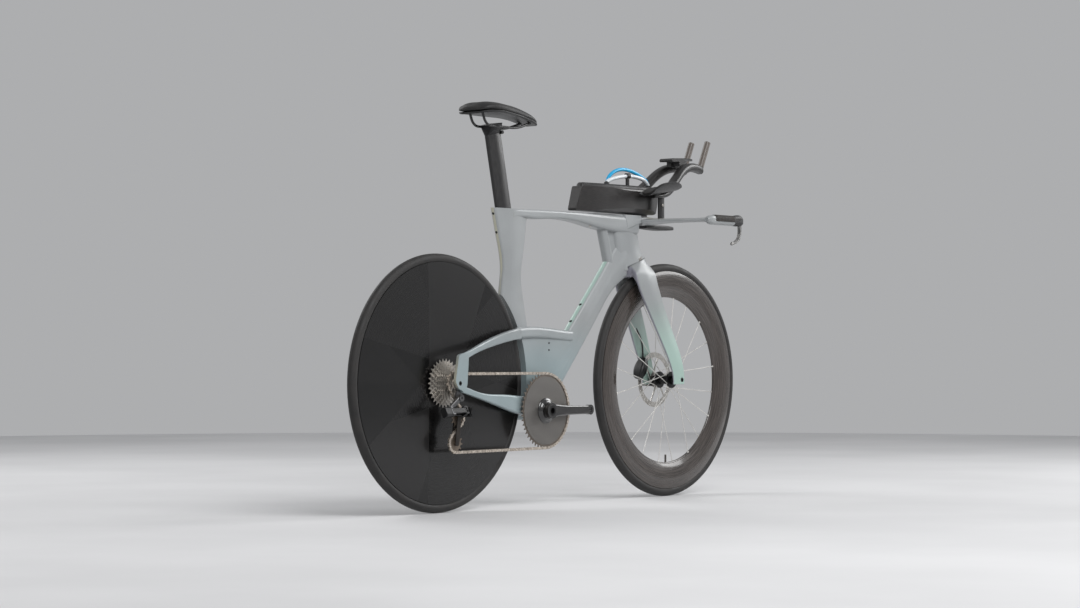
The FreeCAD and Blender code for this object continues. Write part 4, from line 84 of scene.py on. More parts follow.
def hose(name, route, diameter, node):
    """A round hose on a smooth spline, in place of its CAD tube."""
    points = [Vector((REAR_AXLE_X + x / 1000, y / 1000, z / 1000)) for x, y, z in route]
    curve = bpy.data.curves.new(name, "CURVE")
    curve.dimensions = "3D"
    curve.bevel_depth, curve.bevel_resolution, curve.resolution_u = 1.0, 6, 16
    curve.use_fill_caps = True
    spline = curve.splines.new("NURBS")
    spline.points.add(len(points) - 1)
    for target, point in zip(spline.points, points):
        target.co, target.radius = (*point, 1), diameter / 2
    spline.order_u = 3
    spline.use_endpoint_u = True
    piece = bpy.data.objects.new(name, curve)
    scene.collection.objects.link(piece)
    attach(piece, "cockpit")
    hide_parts(node)
    return piece


# %% The three hoses
drink = hose("drink_line", DRINK_ROUTE, 0.0105, "drink_hose")
refill = hose("refill_line", REFILL_ROUTE, 0.0110, "refill_hose")
brake = hose("brake_line", BRAKE_ROUTE, 0.0050, "front_brake_hose")
print("hoses", drink.name, refill.name, brake.name)

# %% [markdown]
# ## Helpers for finishes
# A finish is a small tree of nodes round one Principled shader. Effects that several finishes share, such as
# a fade along the part or the lay of fibres, are built once as node groups with named sockets.


# %% Node helpers
def srgb(red, green, blue):
    """A colour as a picture program gives it, 0 to 255, in the linear values that a shader takes."""
    def linear(value):
        share = value / 255
        return share / 12.92 if share <= 0.04045 else ((share + 0.055) / 1.055) ** 2.4
    return (linear(red), linear(green), linear(blue), 1.0)


def add(tree, kind, inputs=(), **settings):
    """A node with its settings; each input is a value or another node's socket."""
    made = tree.nodes.new(kind)
    for name, value in settings.items():
        setattr(made, name, value)
    for key, value in dict(inputs).items():
        if isinstance(value, bpy.types.NodeSocket):
            tree.links.new(value, made.inputs[key])
        else:
            made.inputs[key].default_value = value
    return made


def maths(tree, operation, first, second=0.0):
    return add(tree, "ShaderNodeMath", {0: first, 1: second}, operation=operation).outputs[0]


def blend(tree, share, below, above):
    return add(tree, "ShaderNodeMix", {0: share, 6: below, 7: above}, data_type="RGBA").outputs[2]


def fade(tree, value, start, end):
    made = add(tree, "ShaderNodeMapRange", {0: value, 1: start, 2: end}, interpolation_type="SMOOTHSTEP")
    return made.outputs[0]


def group(name, inputs, outputs):
    """An empty node group with named sockets, and its two end nodes."""
    tree = bpy.data.node_groups.new(name, "ShaderNodeTree")
    for label, kind, value in inputs:
        tree.interface.new_socket(label, in_out="INPUT", socket_type=kind).default_value = value
    for label, kind in outputs:
        tree.interface.new_socket(label, in_out="OUTPUT", socket_type=kind)
    return tree, tree.nodes.new("NodeGroupInput").outputs, tree.nodes.new("NodeGroupOutput")


def use(tree, made, **inputs):
    """A group placed in a material, with its own values."""
    node = add(tree, "ShaderNodeGroup", node_tree=made)
    for label, value in inputs.items():
        socket = node.inputs[label]
        if isinstance(value, bpy.types.NodeSocket):
            tree.links.new(value, socket)
        else:
            socket.default_value = value
    return node.outputs


def finish(name, **plain):
    """A material and its Principled shader, with plain values on the shader's own sockets."""
    made = bpy.data.materials.new(name)
    made.use_nodes = True
    shader = made.node_tree.nodes["Principled BSDF"]
    for label, value in plain.items():
        shader.inputs[label.replace("_", " ")].default_value = value
    return made, made.node_tree, shader


def feed(tree, shader, **sockets):
    for label, socket in sockets.items():
        tree.links.new(socket, shader.inputs[label.replace("_", " ")])


FLOAT, VECTOR = "NodeSocketFloat", "NodeSocketVector"
print("helpers ready")

# %% [markdown]
# ## Shared effects
# `facing` is a mask of the surfaces that face one way, `along` is a mask that fades along a line, and both
# are the same on the left and the right. `fibres` gives the streaks of laid carbon, `grain` the pebble of
# moulded plastic or leather, and `round_axle` the distance and angle about a wheel's axle. All of them read
# object coordinates, so they turn with the part and stay put when the camera moves.

# %% Masks by direction and by place
facing, f_in, f_out = group("facing", [("Direction", VECTOR, (0, 0, 1)), ("Start", FLOAT, 0.5),
                                       ("End", FLOAT, 0.9)], [("Mask", FLOAT)])
turned = add(facing, "ShaderNodeVectorMath", {0: add(facing, "ShaderNodeTexCoord").outputs["Normal"],
                                              1: f_in["Direction"]}, operation="DOT_PRODUCT").outputs["Value"]
facing.links.new(fade(facing, turned, f_in["Start"], f_in["End"]), f_out.inputs["Mask"])

along, a_in, a_out = group("along", [("Line", VECTOR, (0, 0, 1)), ("Start", FLOAT, 0.0), ("End", FLOAT, 1.0)],
                           [("Mask", FLOAT)])
place = add(along, "ShaderNodeSeparateXYZ", {0: add(along, "ShaderNodeTexCoord").outputs["Object"]}).outputs
even = add(along, "ShaderNodeCombineXYZ", {0: place[0], 1: maths(along, "ABSOLUTE", place[1]), 2: place[2]})
reach = add(along, "ShaderNodeVectorMath", {0: even.outputs[0], 1: a_in["Line"]}, operation="DOT_PRODUCT")
along.links.new(fade(along, reach.outputs["Value"], a_in["Start"], a_in["End"]), a_out.inputs["Mask"])

# %% Fibres and grain
fibres, s_in, s_out = group("fibres", [("Lay", VECTOR, (1, 1, 1)), ("Scale", FLOAT, 60.0)],
                            [("Tone", FLOAT), ("Height", FLOAT)])
laid = add(fibres, "ShaderNodeVectorMath", {0: add(fibres, "ShaderNodeTexCoord").outputs["Object"],
                                            1: s_in["Lay"]}, operation="MULTIPLY")
streak = add(fibres, "ShaderNodeTexNoise", {"Vector": laid.outputs[0], "Scale": s_in["Scale"], "Detail": 3.0,
                                           "Roughness": 0.6})
fibres.links.new(fade(fibres, streak.outputs["Fac"], 0.35, 0.68), s_out.inputs["Tone"])
fibres.links.new(streak.outputs["Fac"], s_out.inputs["Height"])

grain, g_in, g_out = group("grain", [("Scale", FLOAT, 900.0), ("Mottle", FLOAT, 20.0)],
                           [("Tone", FLOAT), ("Height", FLOAT)])
spot = add(grain, "ShaderNodeTexCoord").outputs["Object"]
pebble = add(grain, "ShaderNodeTexVoronoi", {"Vector": spot, "Scale": g_in["Scale"]})
cloud = add(grain, "ShaderNodeTexNoise", {"Vector": spot, "Scale": g_in["Mottle"], "Detail": 4.0})
grain.links.new(fade(grain, cloud.outputs["Fac"], 0.3, 0.7), g_out.inputs["Tone"])
grain.links.new(pebble.outputs["Distance"], g_out.inputs["Height"])

# %% Distance and angle about an axle
round_axle, r_in, r_out = group("round_axle", [("Centre", VECTOR, (0, 0, 0))],
                                [("Radius", FLOAT), ("Turn", FLOAT)])
arm = add(round_axle, "ShaderNodeVectorMath", {0: add(round_axle, "ShaderNodeTexCoord").outputs["Object"],
                                               1: r_in["Centre"]}, operation="SUBTRACT")
parts = add(round_axle, "ShaderNodeSeparateXYZ", {0: arm.outputs[0]}).outputs
flat = add(round_axle, "ShaderNodeCombineXYZ", {0: parts[0], 2: parts[2]})
length = add(round_axle, "ShaderNodeVectorMath", {0: flat.outputs[0]}, operation="LENGTH")
angle = maths(round_axle, "ARCTAN2", parts[2], parts[0])
share = maths(round_axle, "ADD", maths(round_axle, "DIVIDE", angle, 2 * math.pi), 0.5)
round_axle.links.new(length.outputs["Value"], r_out.inputs["Radius"])
round_axle.links.new(share, r_out.inputs["Turn"])
print("groups", [made.name for made in bpy.data.node_groups])

# %% [markdown]
# ## Pearl paint
# Frame, fork and bar wear one satin paint that looks grey from the side and slides to mint, blue, gold and
# violet on other faces. On the real paint the pearl pigment does it with the light. Here those colours are
# painted sheen and painted highlight: masks by direction and place lay them into the surface's colour, so they
# stay where they are when someone walks round the bike.

# %% Paint of the frame, the fork and the bar, with painted sheen and highlight
GREY, BLUE_SHEEN, MINT_SHEEN = srgb(144, 147, 148), srgb(134, 149, 152), srgb(158, 184, 174)
GOLD_HIGHLIGHT, VIOLET_SHEEN = srgb(186, 184, 164), srgb(140, 139, 150)


def pearl(name, tints):
    """Satin paint; each tint is a colour of painted sheen or highlight and the masks that are multiplied to
    place it.
    """
    made, tree, shader = finish(name, Metallic=0.12, Coat_Weight=0.30, Coat_Roughness=0.22)
    colour = GREY
    for tint, masks in tints:
        mask = None
        for kind, line, start, end in masks:
            label = "Direction" if kind is facing else "Line"
            one = use(tree, kind, **{label: line, "Start": start, "End": end})["Mask"]
            mask = one if mask is None else maths(tree, "MULTIPLY", mask, one)
        colour = blend(tree, mask, colour, tint)
    flake = use(tree, grain, Scale=2600.0, Mottle=9.0)
    soft = blend(tree, maths(tree, "MULTIPLY", flake["Tone"], 0.10), colour, srgb(190, 194, 198))
    rough = add(tree, "ShaderNodeMapRange", {0: flake["Tone"], 3: 0.34, 4: 0.44}).outputs[0]
    bump = add(tree, "ShaderNodeBump", {"Strength": 0.02, "Distance": 0.0004, "Height": flake["Height"]})
    feed(tree, shader, Base_Color=soft, Roughness=rough, Normal=bump.outputs[0])
    return made


# Painted sheen and highlight on the frame: blue low down, mint on faces turned up and back at the front, and a
# pale gold highlight on the seat tube's rear edge and the rear dropouts.
frame_paint = pearl("pearl_frame", [
    (BLUE_SHEEN, [(along, (0, 0, -1), -0.52, -0.36)]),
    (MINT_SHEEN, [(facing, (-0.73, 0, 0.68), 0.80, 0.97), (along, (1, 0, 0), 0.0, 0.06)]),
    (GOLD_HIGHLIGHT, [(facing, (-0.97, 0, -0.22), 0.86, 0.99), (along, (0, 0, 1), 0.54, 0.60),
            (along, (-1, 0, 0), 0.10, 0.15)]),
    (GOLD_HIGHLIGHT, [(facing, (-1, 0, 0.1), 0.30, 0.75), (along, (-1, 0, 0), 0.505, 0.520)]),
])
# Painted sheen on the fork: mint low on the legs, violet on the faces turned back.
fork_paint = pearl("pearl_fork", [
    (MINT_SHEEN, [(along, (0.2, 0, -1), -0.52, -0.30)]),
    (VIOLET_SHEEN, [(facing, (-0.98, 0, -0.2), 0.55, 0.95)]),
])
# Painted highlight on the bar: gold on the upward faces of the wing next to the stem.
bar_paint = pearl("pearl_bar", [
    (GOLD_HIGHLIGHT, [(along, (0, -1, 0), -0.10, -0.03), (facing, (0.3, 0, 0.95), 0.55, 0.95),
            (along, (1, 0, 0), 0.36, 0.40)]),
])
print("paints", frame_paint.name, fork_paint.name, bar_paint.name)

# %% [markdown]
# ## Carbon
# The rims, disc, cranks, post and cockpit are laminates under a clear or satin coat. Their fibres show as
# faint streaks in the direction of the lay. The closed disc is laid in long triangles between hub and rim that
# catch the light one by one; the step of tone from one to the next is a painted sheen, a random tone for each
# facet laid into the colour.

# %% Black laminate for post, cranks and cockpit
FRONT_AXLE, REAR_AXLE, CRANK_AXLE = (0.5055, 0, 0.338), (-0.5055, 0, 0.338), (-0.11522, 0, 0.260)


def laminate(name, dark, light, lay, rough, coat, scale=160.0, tip=None):
    """Streaked carbon between two tones, under a coat; a tip has another, lighter tone past a place on a line,
    for its tape with a painted highlight.
    """
    made, tree, shader = finish(name, Coat_Weight=coat, Coat_Roughness=0.08)
    lines = use(tree, fibres, Lay=lay, Scale=scale)
    bump = add(tree, "ShaderNodeBump", {"Strength": 0.05, "Distance": 0.0003, "Height": lines["Height"]})
    sheen = add(tree, "ShaderNodeMapRange", {0: lines["Tone"], 3: rough - 0.05, 4: rough + 0.05}).outputs[0]
    colour = blend(tree, lines["Tone"], dark, light)
    if tip:
        end = use(tree, along, Line=tip[1], Start=tip[2], End=tip[3])["Mask"]
        colour = blend(tree, end, colour, tip[0])
    feed(tree, shader, Base_Color=colour, Roughness=sheen, Normal=bump.outputs[0])
    return made


satin_carbon = laminate("satin_carbon", srgb(20, 20, 21), srgb(33, 32, 32), (1, 4, 0.3), 0.42, 0.10)
# The extensions' bronze-grey tips are partly their grip tape and partly a painted highlight.
tip_carbon = laminate("tip_carbon", srgb(22, 21, 21), srgb(34, 32, 31), (1, 4, 0.3), 0.40, 0.15,
                      tip=(srgb(92, 84, 78), (0.438, 0, 0.899), 1.146, 1.152))
gloss_carbon = laminate("gloss_carbon", srgb(9, 9, 9), srgb(24, 22, 21), (0.25, 3, 2), 0.22, 1.0)
box_carbon = laminate("box_carbon", srgb(24, 22, 22), srgb(36, 33, 32), (0.3, 2, 3), 0.36, 0.25)


# %% Rim laminate, laid round the wheel
FACET_CIRCLE = 0.05


def wheel_laminate(name, centre, dark, light, rough, coat, sectors):
    """Carbon wound round an axle; with sectors, in facets between lines that touch a circle about the hub,
    each facet with a painted sheen tone.
    """
    made, tree, shader = finish(name, Coat_Weight=coat, Coat_Roughness=0.10, Specular_IOR_Level=0.35)
    polar = use(tree, round_axle, Centre=centre)
    wind = add(tree, "ShaderNodeCombineXYZ", {0: maths(tree, "MULTIPLY", polar["Turn"], 9.0),
                                              1: maths(tree, "MULTIPLY", polar["Radius"], 220.0)})
    streak = add(tree, "ShaderNodeTexNoise", {"Vector": wind.outputs[0], "Scale": 2.2, "Detail": 4.0})
    tone = fade(tree, streak.outputs["Fac"], 0.34, 0.68)
    # Painted sheen: each facet gets a random tone in its colour, standing in for how it catches the light.
    if sectors:
        lean = maths(tree, "ARCCOSINE", maths(tree, "DIVIDE", FACET_CIRCLE, polar["Radius"]))
        lean = maths(tree, "DIVIDE", lean, 2 * math.pi)
        places = [maths(tree, way, polar["Turn"], lean) for way in ("ADD", "SUBTRACT")]
        steps = [maths(tree, "FLOOR", maths(tree, "MULTIPLY", place, float(sectors))) for place in places]
        cell = add(tree, "ShaderNodeCombineXYZ", {0: steps[0], 1: steps[1]})
        facet_sheen = add(tree, "ShaderNodeTexWhiteNoise", {"Vector": cell.outputs[0]}, noise_dimensions="2D")
        tone = maths(tree, "ADD", maths(tree, "MULTIPLY", tone, 0.15),
                     maths(tree, "MULTIPLY", facet_sheen.outputs["Value"], 0.85))
    bump = add(tree, "ShaderNodeBump", {"Strength": 0.04, "Distance": 0.0003, "Height": streak.outputs["Fac"]})
    sheen = add(tree, "ShaderNodeMapRange", {0: tone, 3: rough - 0.06, 4: rough + 0.06}).outputs[0]
    feed(tree, shader, Base_Color=blend(tree, tone, dark, light), Roughness=sheen, Normal=bump.outputs[0])
    return made


rim_carbon = wheel_laminate("rim_carbon", FRONT_AXLE, srgb(48, 43, 40), srgb(72, 65, 61), 0.28, 0.70, 0)
disc_carbon = wheel_laminate("disc_carbon", REAR_AXLE, srgb(2, 2, 2), srgb(27, 26, 26), 0.26, 0.25, 7)
print("laminates", satin_carbon.name, gloss_carbon.name, rim_carbon.name, disc_carbon.name)

# %% [markdown]
# ## Rubber, plastic and metal
# Tyres have a fine file tread under a duller sidewall. Moulded plastic has a pebble of its mould. Machined
# metal keeps the marks of its tool, which run round the axle on a rotor or a sprocket and straight across the
# closed chainring.


# %% Tyre rubber
def tyre_rubber(name, centre):
    made, tree, shader = finish(name)
    polar = use(tree, round_axle, Centre=centre)
    crown = fade(tree, polar["Radius"], 0.331, 0.335)
    file = add(tree, "ShaderNodeTexWave", {"Vector": add(tree, "ShaderNodeCombineXYZ", {
        0: maths(tree, "MULTIPLY", polar["Turn"], 500.0)}).outputs[0], "Scale": 1.0}, wave_type="BANDS")
    wear = use(tree, grain, Scale=1400.0, Mottle=26.0)
    height = maths(tree, "MULTIPLY", file.outputs["Fac"], crown)
    bump = add(tree, "ShaderNodeBump", {"Strength": 0.25, "Distance": 0.0005, "Height": height})
    colour = blend(tree, wear["Tone"], srgb(24, 23, 23), srgb(40, 38, 37))
    sheen = add(tree, "ShaderNodeMapRange", {0: wear["Tone"], 3: 0.55, 4: 0.70}).outputs[0]
    feed(tree, shader, Base_Color=colour, Roughness=sheen, Normal=bump.outputs[0])
    return made


front_rubber, rear_rubber = tyre_rubber("front_rubber", FRONT_AXLE), tyre_rubber("rear_rubber", REAR_AXLE)


# %% Pebbled plastics and covers
def pebbled(name, dark, light, rough, scale, depth, coat=0.0):
    made, tree, shader = finish(name, Coat_Weight=coat, Coat_Roughness=0.1)
    skin = use(tree, grain, Scale=scale, Mottle=30.0)
    bump = add(tree, "ShaderNodeBump", {"Strength": 0.3, "Distance": depth, "Height": skin["Height"]})
    sheen = add(tree, "ShaderNodeMapRange", {0: skin["Tone"], 3: rough - 0.06, 4: rough + 0.06}).outputs[0]
    feed(tree, shader, Base_Color=blend(tree, skin["Tone"], dark, light), Roughness=sheen,
         Normal=bump.outputs[0])
    return made


moulded = pebbled("moulded_black", srgb(26, 26, 27), srgb(38, 37, 37), 0.48, 900.0, 0.0003)
cover = pebbled("saddle_cover", srgb(22, 22, 23), srgb(34, 33, 33), 0.58, 700.0, 0.0004)
foam = pebbled("pad_foam", srgb(28, 27, 27), srgb(44, 42, 41), 0.82, 1100.0, 0.0006)
grip_rubber = pebbled("grip_rubber", srgb(26, 23, 21), srgb(42, 37, 33), 0.66, 800.0, 0.0006)
blue_tube = pebbled("blue_tube", srgb(0, 150, 200), srgb(10, 166, 214), 0.30, 300.0, 0.0001, 0.3)
white_tube = pebbled("white_tube", srgb(196, 202, 206), srgb(222, 226, 228), 0.30, 300.0, 0.0001, 0.4)
brake_tube = pebbled("brake_tube", srgb(18, 18, 18), srgb(28, 28, 28), 0.42, 500.0, 0.0001)


# %% Machined metal
def machined(name, centre, dark, light, rough, metal=1.0, by_piece=False):
    """Metal with tool marks round an axle; by piece, each loose piece has a tone of its own."""
    made, tree, shader = finish(name, Metallic=metal)
    polar = use(tree, round_axle, Centre=centre)
    marks = maths(tree, "MULTIPLY", polar["Radius"], 2600.0)
    ring = add(tree, "ShaderNodeTexNoise", {"W": marks, "Scale": 1.0, "Detail": 2.0}, noise_dimensions="1D")
    mottle = use(tree, grain, Scale=600.0, Mottle=45.0)
    tone = maths(tree, "MULTIPLY", fade(tree, ring.outputs["Fac"], 0.3, 0.7), mottle["Tone"])
    if by_piece:
        tone = add(tree, "ShaderNodeNewGeometry").outputs["Random Per Island"]
    bump = add(tree, "ShaderNodeBump", {"Strength": 0.08, "Distance": 0.0002, "Height": ring.outputs["Fac"]})
    sheen = add(tree, "ShaderNodeMapRange", {0: tone, 3: rough - 0.06, 4: rough + 0.08}).outputs[0]
    feed(tree, shader, Base_Color=blend(tree, tone, dark, light), Roughness=sheen, Normal=bump.outputs[0])
    return made


front_steel = machined("front_steel", FRONT_AXLE, srgb(178, 175, 170), srgb(214, 211, 206), 0.32)
spoke_steel = machined("spoke_steel", FRONT_AXLE, srgb(196, 194, 190), srgb(226, 224, 220), 0.36, 0.5)
rear_steel = machined("rear_steel", REAR_AXLE, srgb(182, 177, 170), srgb(220, 215, 208), 0.34, 0.8)
chain_steel = machined("chain_steel", CRANK_AXLE, srgb(120, 110, 100), srgb(226, 216, 204), 0.36, 0.7, True)
silver = machined("silver_alloy", REAR_AXLE, srgb(94, 94, 95), srgb(126, 126, 127), 0.42)
lever_alloy = machined("lever_alloy", CRANK_AXLE, srgb(150, 149, 147), srgb(186, 185, 183), 0.36)
cage_alloy = machined("cage_alloy", REAR_AXLE, srgb(44, 41, 39), srgb(66, 60, 55), 0.40, 0.6)
pulley_alloy = machined("pulley_alloy", REAR_AXLE, srgb(104, 94, 84), srgb(138, 126, 114), 0.42, 0.7)
black_alloy = machined("black_alloy", REAR_AXLE, srgb(22, 22, 23), srgb(38, 38, 39), 0.38, 0.4)


# %% Chainring disc with straight tool lines
def lined_ring():
    made, tree, shader = finish("lined_ring", Metallic=0.75)
    polar = use(tree, round_axle, Centre=CRANK_AXLE)
    spot = add(tree, "ShaderNodeTexCoord").outputs["Object"]
    lines = add(tree, "ShaderNodeTexWave", {"Vector": spot, "Scale": 110.0, "Distortion": 0.0},
                bands_direction="Z")
    face = blend(tree, lines.outputs["Fac"], srgb(58, 56, 55), srgb(142, 139, 135))
    teeth = fade(tree, polar["Radius"], 0.0915, 0.0935)
    bump = add(tree, "ShaderNodeBump", {"Strength": 0.35, "Distance": 0.0006, "Height": lines.outputs["Fac"]})
    sheen = add(tree, "ShaderNodeMapRange", {0: teeth, 3: 0.40, 4: 0.30}).outputs[0]
    feed(tree, shader, Base_Color=blend(tree, teeth, face, srgb(112, 104, 96)), Roughness=sheen,
         Normal=bump.outputs[0])
    return made


ring_metal = lined_ring()
print("metals", front_steel.name, chain_steel.name, ring_metal.name)

# %% [markdown]
# ## Dressing the CAD pieces
# A rigid CAD node keeps its shape and takes a finish in its material slot. One table gives every node its
# finish, so a changed finish reaches all of its pieces.

# %% One finish for each node
DRESS = {
    frame_paint: ["frame"],
    fork_paint: ["fork"],
    bar_paint: ["base_bar"],
    satin_carbon: ["seatpost", "saddle_shell", "saddle_rails", "riser_posts", "arm_cups"],
    tip_carbon: ["extensions"],
    gloss_carbon: ["crank_arm_right", "crank_arm_left"],
    box_carbon: ["hydration_box"],
    rim_carbon: ["front_rim"],
    disc_carbon: ["rear_disc"],
    front_rubber: ["front_tyre"],
    rear_rubber: ["rear_tyre"],
    moulded: ["hydration_lid", "computer_mount", "stem_nose_cover", "lever_housings", "shift_button_left",
              "shift_button_right", "derailleur_battery"],
    cage_alloy: ["derailleur_cage"],
    pulley_alloy: ["upper_pulley", "lower_pulley"],
    cover: ["saddle_pad"],
    foam: ["arm_pads"],
    grip_rubber: ["bar_grips"],
    front_steel: ["front_rotor", "headset_bearings"],
    spoke_steel: ["front_spokes"],
    rear_steel: ["rear_rotor", "cassette_sprockets", "cockpit_bolts"],
    chain_steel: ["chain"],
    silver: ["derailleur_hanger", "derailleur_b_knuckle"],
    lever_alloy: ["brake_lever_left", "brake_lever_right"],
    black_alloy: ["bottom_bracket_cups", "bottle_boss_inserts", "frame_bolts", "rear_thru_axle",
                  "rear_brake_caliper", "derailleur_outer_link", "derailleur_inner_link",
                  "derailleur_p_knuckle", "crank_spindle", "front_brake_caliper",
                  "front_thru_axle", "front_hub", "rear_hub", "freehub_body", "saddle_clamp"],
    ring_metal: ["chainring"],
}


def dress(piece, material):
    piece.data.materials.clear()
    piece.data.materials.append(material)


for material, names in DRESS.items():
    for name in names:
        dress(NODES[name], material)
for piece, material in ((drink, blue_tube), (refill, white_tube), (brake, brake_tube)):
    dress(piece, material)
print("dressed", sum(len(names) for names in DRESS.values()))

# %% [markdown]
# ## Saddle, arm pads and grips
# The saddle's cover is stretched over firm foam and each arm pad is a block of foam in its cup. A plain
# extrusion looks hard-edged, so each starts from its CAD solid, remeshed in even quads and drawn in a little.
# Cloth under pressure then swells it, as foam fills its cover, and a cap on how far a point may move keeps it
# in its seat. The grips are a moulded rubber skin, so they get ribs across the hand and no cloth.


# %% Swell a pad by cloth under pressure
def even_copy(name, node, voxel, lumps=()):
    """A copy of a CAD node in even quads, with the hull of each lump of points filled in."""
    form = bmesh.new()
    form.from_mesh(NODES[node].data)
    for lump in lumps:
        hull = bmesh.new()
        for point in lump:
            hull.verts.new(point)
        bmesh.ops.convex_hull(hull, input=hull.verts[:])
        loose = [vertex for vertex in hull.verts if not vertex.link_faces]
        bmesh.ops.delete(hull, geom=loose, context="VERTS")
        filled = bpy.data.meshes.new(name)
        hull.to_mesh(filled)
        form.from_mesh(filled)
        hull.free()
    whole = bpy.data.meshes.new(name)
    form.to_mesh(whole)
    form.free()
    piece = bpy.data.objects.new(name, whole)
    scene.collection.objects.link(piece)
    remesh = piece.modifiers.new("even", "REMESH")
    remesh.mode, remesh.voxel_size = "VOXEL", voxel
    made = bpy.data.meshes.new_from_object(piece.evaluated_get(bpy.context.evaluated_depsgraph_get()))
    piece.modifiers.clear()
    piece.data = made
    return piece


def swell(piece, drawn_in, cap):
    """Draws a mesh in along its normals, then swells it by cloth, no point moving further than the cap."""
    for vertex in piece.data.vertices:
        vertex.co -= vertex.normal * drawn_in
    start = [vertex.co.copy() for vertex in piece.data.vertices]
    cloth = piece.modifiers.new("swell", "CLOTH")
    cloth.settings.use_pressure = True
    cloth.settings.uniform_pressure_force = 4.0
    cloth.settings.effector_weights.gravity = 0.0
    for step in range(1, 21):
        scene.frame_set(step)
    blown = bpy.data.meshes.new_from_object(piece.evaluated_get(bpy.context.evaluated_depsgraph_get()))
    piece.modifiers.clear()
    scene.frame_set(1)
    for vertex, old, new in zip(piece.data.vertices, start, blown.vertices):
        move = new.co - old
        vertex.co = old + move * min(1.0, cap / max(move.length, 1e-9))


def soft_piece(name, node, body, material, voxel, drawn_in, cap):
    """A padded piece in place of its CAD solid."""
    piece = even_copy(name, node, voxel)
    swell(piece, drawn_in, cap)
    smooth = piece.modifiers.new("smooth", "SMOOTH")
    smooth.factor, smooth.iterations = 0.5, 4
    piece.modifiers.new("fine", "SUBSURF").render_levels = 1
    piece.data.polygons.foreach_set("use_smooth", [True] * len(piece.data.polygons))
    dress(piece, material)
    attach(piece, body)
    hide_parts(node)
    print(name, "points", len(piece.data.vertices))
    return piece


# %% Saddle and arm pads
soft_piece("saddle_cushion", "saddle_pad", "seat", cover, 0.003, 0.0010, 0.0014)
soft_piece("forearm_pads", "arm_pads", "cockpit", foam, 0.0025, 0.0012, 0.0014)

# %% Ribbed grips
RIB_PITCH, RIB_DEPTH = 0.0075, 0.0007
grips = even_copy("ribbed_grips", "bar_grips", 0.0010)
for vertex in grips.data.vertices:
    rib = max(0.0, math.sin(2 * math.pi * vertex.co.x / RIB_PITCH))
    vertex.co -= vertex.normal * (RIB_DEPTH * rib * (vertex.normal.y ** 2 + vertex.normal.z ** 2))
grips.data.polygons.foreach_set("use_smooth", [True] * len(grips.data.polygons))
dress(grips, grip_rubber)
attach(grips, "cockpit")
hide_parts("bar_grips")
print("grips", len(grips.data.vertices))

# %% [markdown]
# ## Fork legs
# The real fork is moulded in one, so each leg runs up into the crown without a corner. A lofted solid keeps a
# corner where two lofts meet. Here a convex hull fills that corner, and a copy in small quads is evened out
# round it, by a weight that fades to nothing at the seam under the frame and further down the legs.

# %% Fork with blended shoulders
CROWN_SEAT, STEER_UP = Vector((0.35233, 0, 0.68081)), Vector((-0.3007, 0, 0.9537))
HULL_FOOT, HULL_INSIDE = 0.612, 0.018
SEAM_MARGIN, SEAM_FADE = 0.003, 0.008
LEG_FADE_FOOT, LEG_FADE = 0.585, 0.030


def below_seam(point):
    return (CROWN_SEAT - point).dot(STEER_UP)


near = [vertex.co.copy() for vertex in NODES["fork"].data.vertices
        if vertex.co.z > HULL_FOOT and below_seam(vertex.co) > SEAM_MARGIN]
lumps = [[point for point in near if side * point.y > HULL_INSIDE] for side in (-1, 1)]
leg = even_copy("fork_shell", "fork", 0.0014, lumps)
shoulder = leg.vertex_groups.new(name="shoulder")
for vertex in leg.data.vertices:
    under, over = (below_seam(vertex.co) - SEAM_MARGIN) / SEAM_FADE, (vertex.co.z - LEG_FADE_FOOT) / LEG_FADE
    shoulder.add([vertex.index], min(1.0, max(0.0, under)) * min(1.0, max(0.0, over)), "REPLACE")
even = leg.modifiers.new("even", "SMOOTH")
even.factor, even.iterations, even.vertex_group = 0.5, 60, "shoulder"
leg.data.polygons.foreach_set("use_smooth", [True] * len(leg.data.polygons))
dress(leg, fork_paint)
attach(leg, "cockpit")
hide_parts("fork")
print("fork", len(leg.data.vertices))

# %% [markdown]
# ## Small turned pieces
# Screws, a plug, spoke nipples and the crank's cover are all turned on a lathe, so one function spins a
# profile about an axis and repeats it at each place. The profile is a list of (radius, height) pairs in
# millimetres, which keeps the real steps and chamfers.


# %% A lathe for small pieces
def turned_pieces(name, body, material, profile, places, steps=24):
    """One mesh of the same turned shape at each (foot, axis) place."""
    points, faces = [], []
    for foot, axis in places:
        turn_to = Vector((0, 0, 1)).rotation_difference(Vector(axis))
        base = len(points)
        for radius, height in profile:
            for step in range(steps):
                angle = 2 * math.pi * step / steps
                point = Vector((radius * math.cos(angle), radius * math.sin(angle), height)) / 1000
                points.append(Vector(foot) + turn_to @ point)
        for ring in range(len(profile) - 1):
            for step in range(steps):
                a, b = base + ring * steps + step, base + ring * steps + (step + 1) % steps
                faces.append((a, b, b + steps, a + steps))
    mesh = bpy.data.meshes.new(name)
    mesh.from_pydata(points, [], faces)
    mesh.validate()
    piece = bpy.data.objects.new(name, mesh)
    scene.collection.objects.link(piece)
    bevel = piece.modifiers.new("edges", "BEVEL")
    bevel.width, bevel.segments = 0.0002, 2
    dress(piece, material)
    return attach(piece, body)


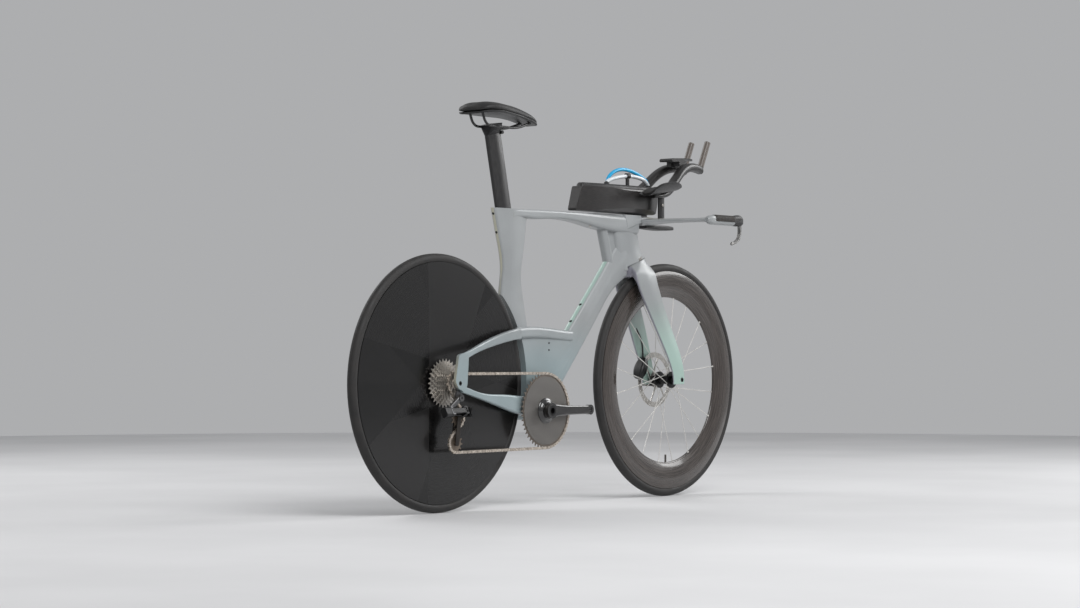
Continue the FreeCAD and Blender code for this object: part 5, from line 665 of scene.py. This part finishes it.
# %% Crank cover, panel screws, tube plug and spoke nipples
COVER = ((21.2, 9.0), (23.5, 8.8), (26.0, 7.6), (29.0, 4.6), (33.0, 3.2), (34.5, 1.6), (34.5, -0.2),
         (21.2, -0.2))
SCREW = ((0.01, 0.3), (1.2, 0.3), (1.3, 0.9), (2.1, 0.9), (2.7, 0.5), (2.8, -0.3))
PLUG = ((0.01, 2.4), (2.6, 2.4), (3.4, 1.8), (3.6, -1.2))
NIPPLE = ((1.1, 3.4), (1.4, 3.0), (1.5, 0.7), (1.9, 0.3), (1.9, -0.5))
RING_FACE = (CRANK_AXLE[0], -0.0496, CRANK_AXLE[2])
SCREW_FEET = ((-0.0628, -0.019, 0.4436), (-0.0628, -0.019, 0.4244))
PLUG_FOOT, PLUG_AXIS = (0.1296, -0.0126, 0.7718), (-0.165, -0.014, -0.986)
SPOKE_END = 0.2385
SIDEWAYS = (0, -1, 0)
turned_pieces("crank_cover", "crankset", gloss_carbon, COVER, [(RING_FACE, SIDEWAYS)], 64)
turned_pieces("panel_screws", "frame_body", black_alloy, SCREW,
              [(foot, SIDEWAYS) for foot in SCREW_FEET])
turned_pieces("tube_plug", "frame_body", rear_steel, PLUG, [(PLUG_FOOT, PLUG_AXIS)])
tips = {}
for vertex in NODES["front_spokes"].data.vertices:
    out = vertex.co - Vector(FRONT_AXLE)
    if math.hypot(out.x, out.z) > SPOKE_END:
        tips.setdefault(round(math.degrees(math.atan2(out.z, out.x)) / 6) % 60, []).append(out)
feet = [sum(found, Vector()) / len(found) for found in tips.values()]
turned_pieces("spoke_nipples", "front_wheel", spoke_steel, NIPPLE,
              [(Vector(FRONT_AXLE) + foot, (-foot.x, 0, -foot.z)) for foot in feet], 12)
print("nipples", len(feet))

# %% [markdown]
# ## Floor and light
# A plain pale floor takes the shadow. One wide softbox above the drive side, a weaker one in front and a pale
# sky light the bike at a plain level, so that a colour renders about as it is written.

# %% Floor
bpy.ops.mesh.primitive_circle_add(vertices=96, radius=6.2, fill_type="NGON")
floor = bpy.context.object
floor.name = "studio_floor"
floor_paint, tree, shader = finish("floor_paint", Roughness=0.7)
mottle = use(tree, grain, Scale=40.0, Mottle=1.2)
feed(tree, shader, Base_Color=blend(tree, mottle["Tone"], srgb(206, 206, 207), srgb(214, 214, 215)))
dress(floor, floor_paint)


# %% Lamps and sky
def softbox(name, at, size, watts):
    lamp = bpy.data.lights.new(name, "AREA")
    lamp.shape, lamp.size, lamp.size_y, lamp.energy = "RECTANGLE", size[0], size[1], watts
    made = bpy.data.objects.new(name, lamp)
    made.location = at
    made.rotation_euler = (Vector((0, 0, 0.5)) - Vector(at)).to_track_quat("-Z", "Y").to_euler()
    scene.collection.objects.link(made)
    return made


softbox("key_softbox", (-1.2, -3.2, 3.2), (3.0, 2.0), 120)
softbox("front_softbox", (3.6, -1.6, 2.4), (2.0, 2.0), 70)
softbox("back_softbox", (-0.5, 3.4, 2.8), (3.0, 1.6), 60)
world = bpy.data.worlds.new("pale_sky")
world.use_nodes = True
world.node_tree.nodes["Background"].inputs["Color"].default_value = srgb(226, 227, 229)
world.node_tree.nodes["Background"].inputs["Strength"].default_value = 0.55
scene.world = world
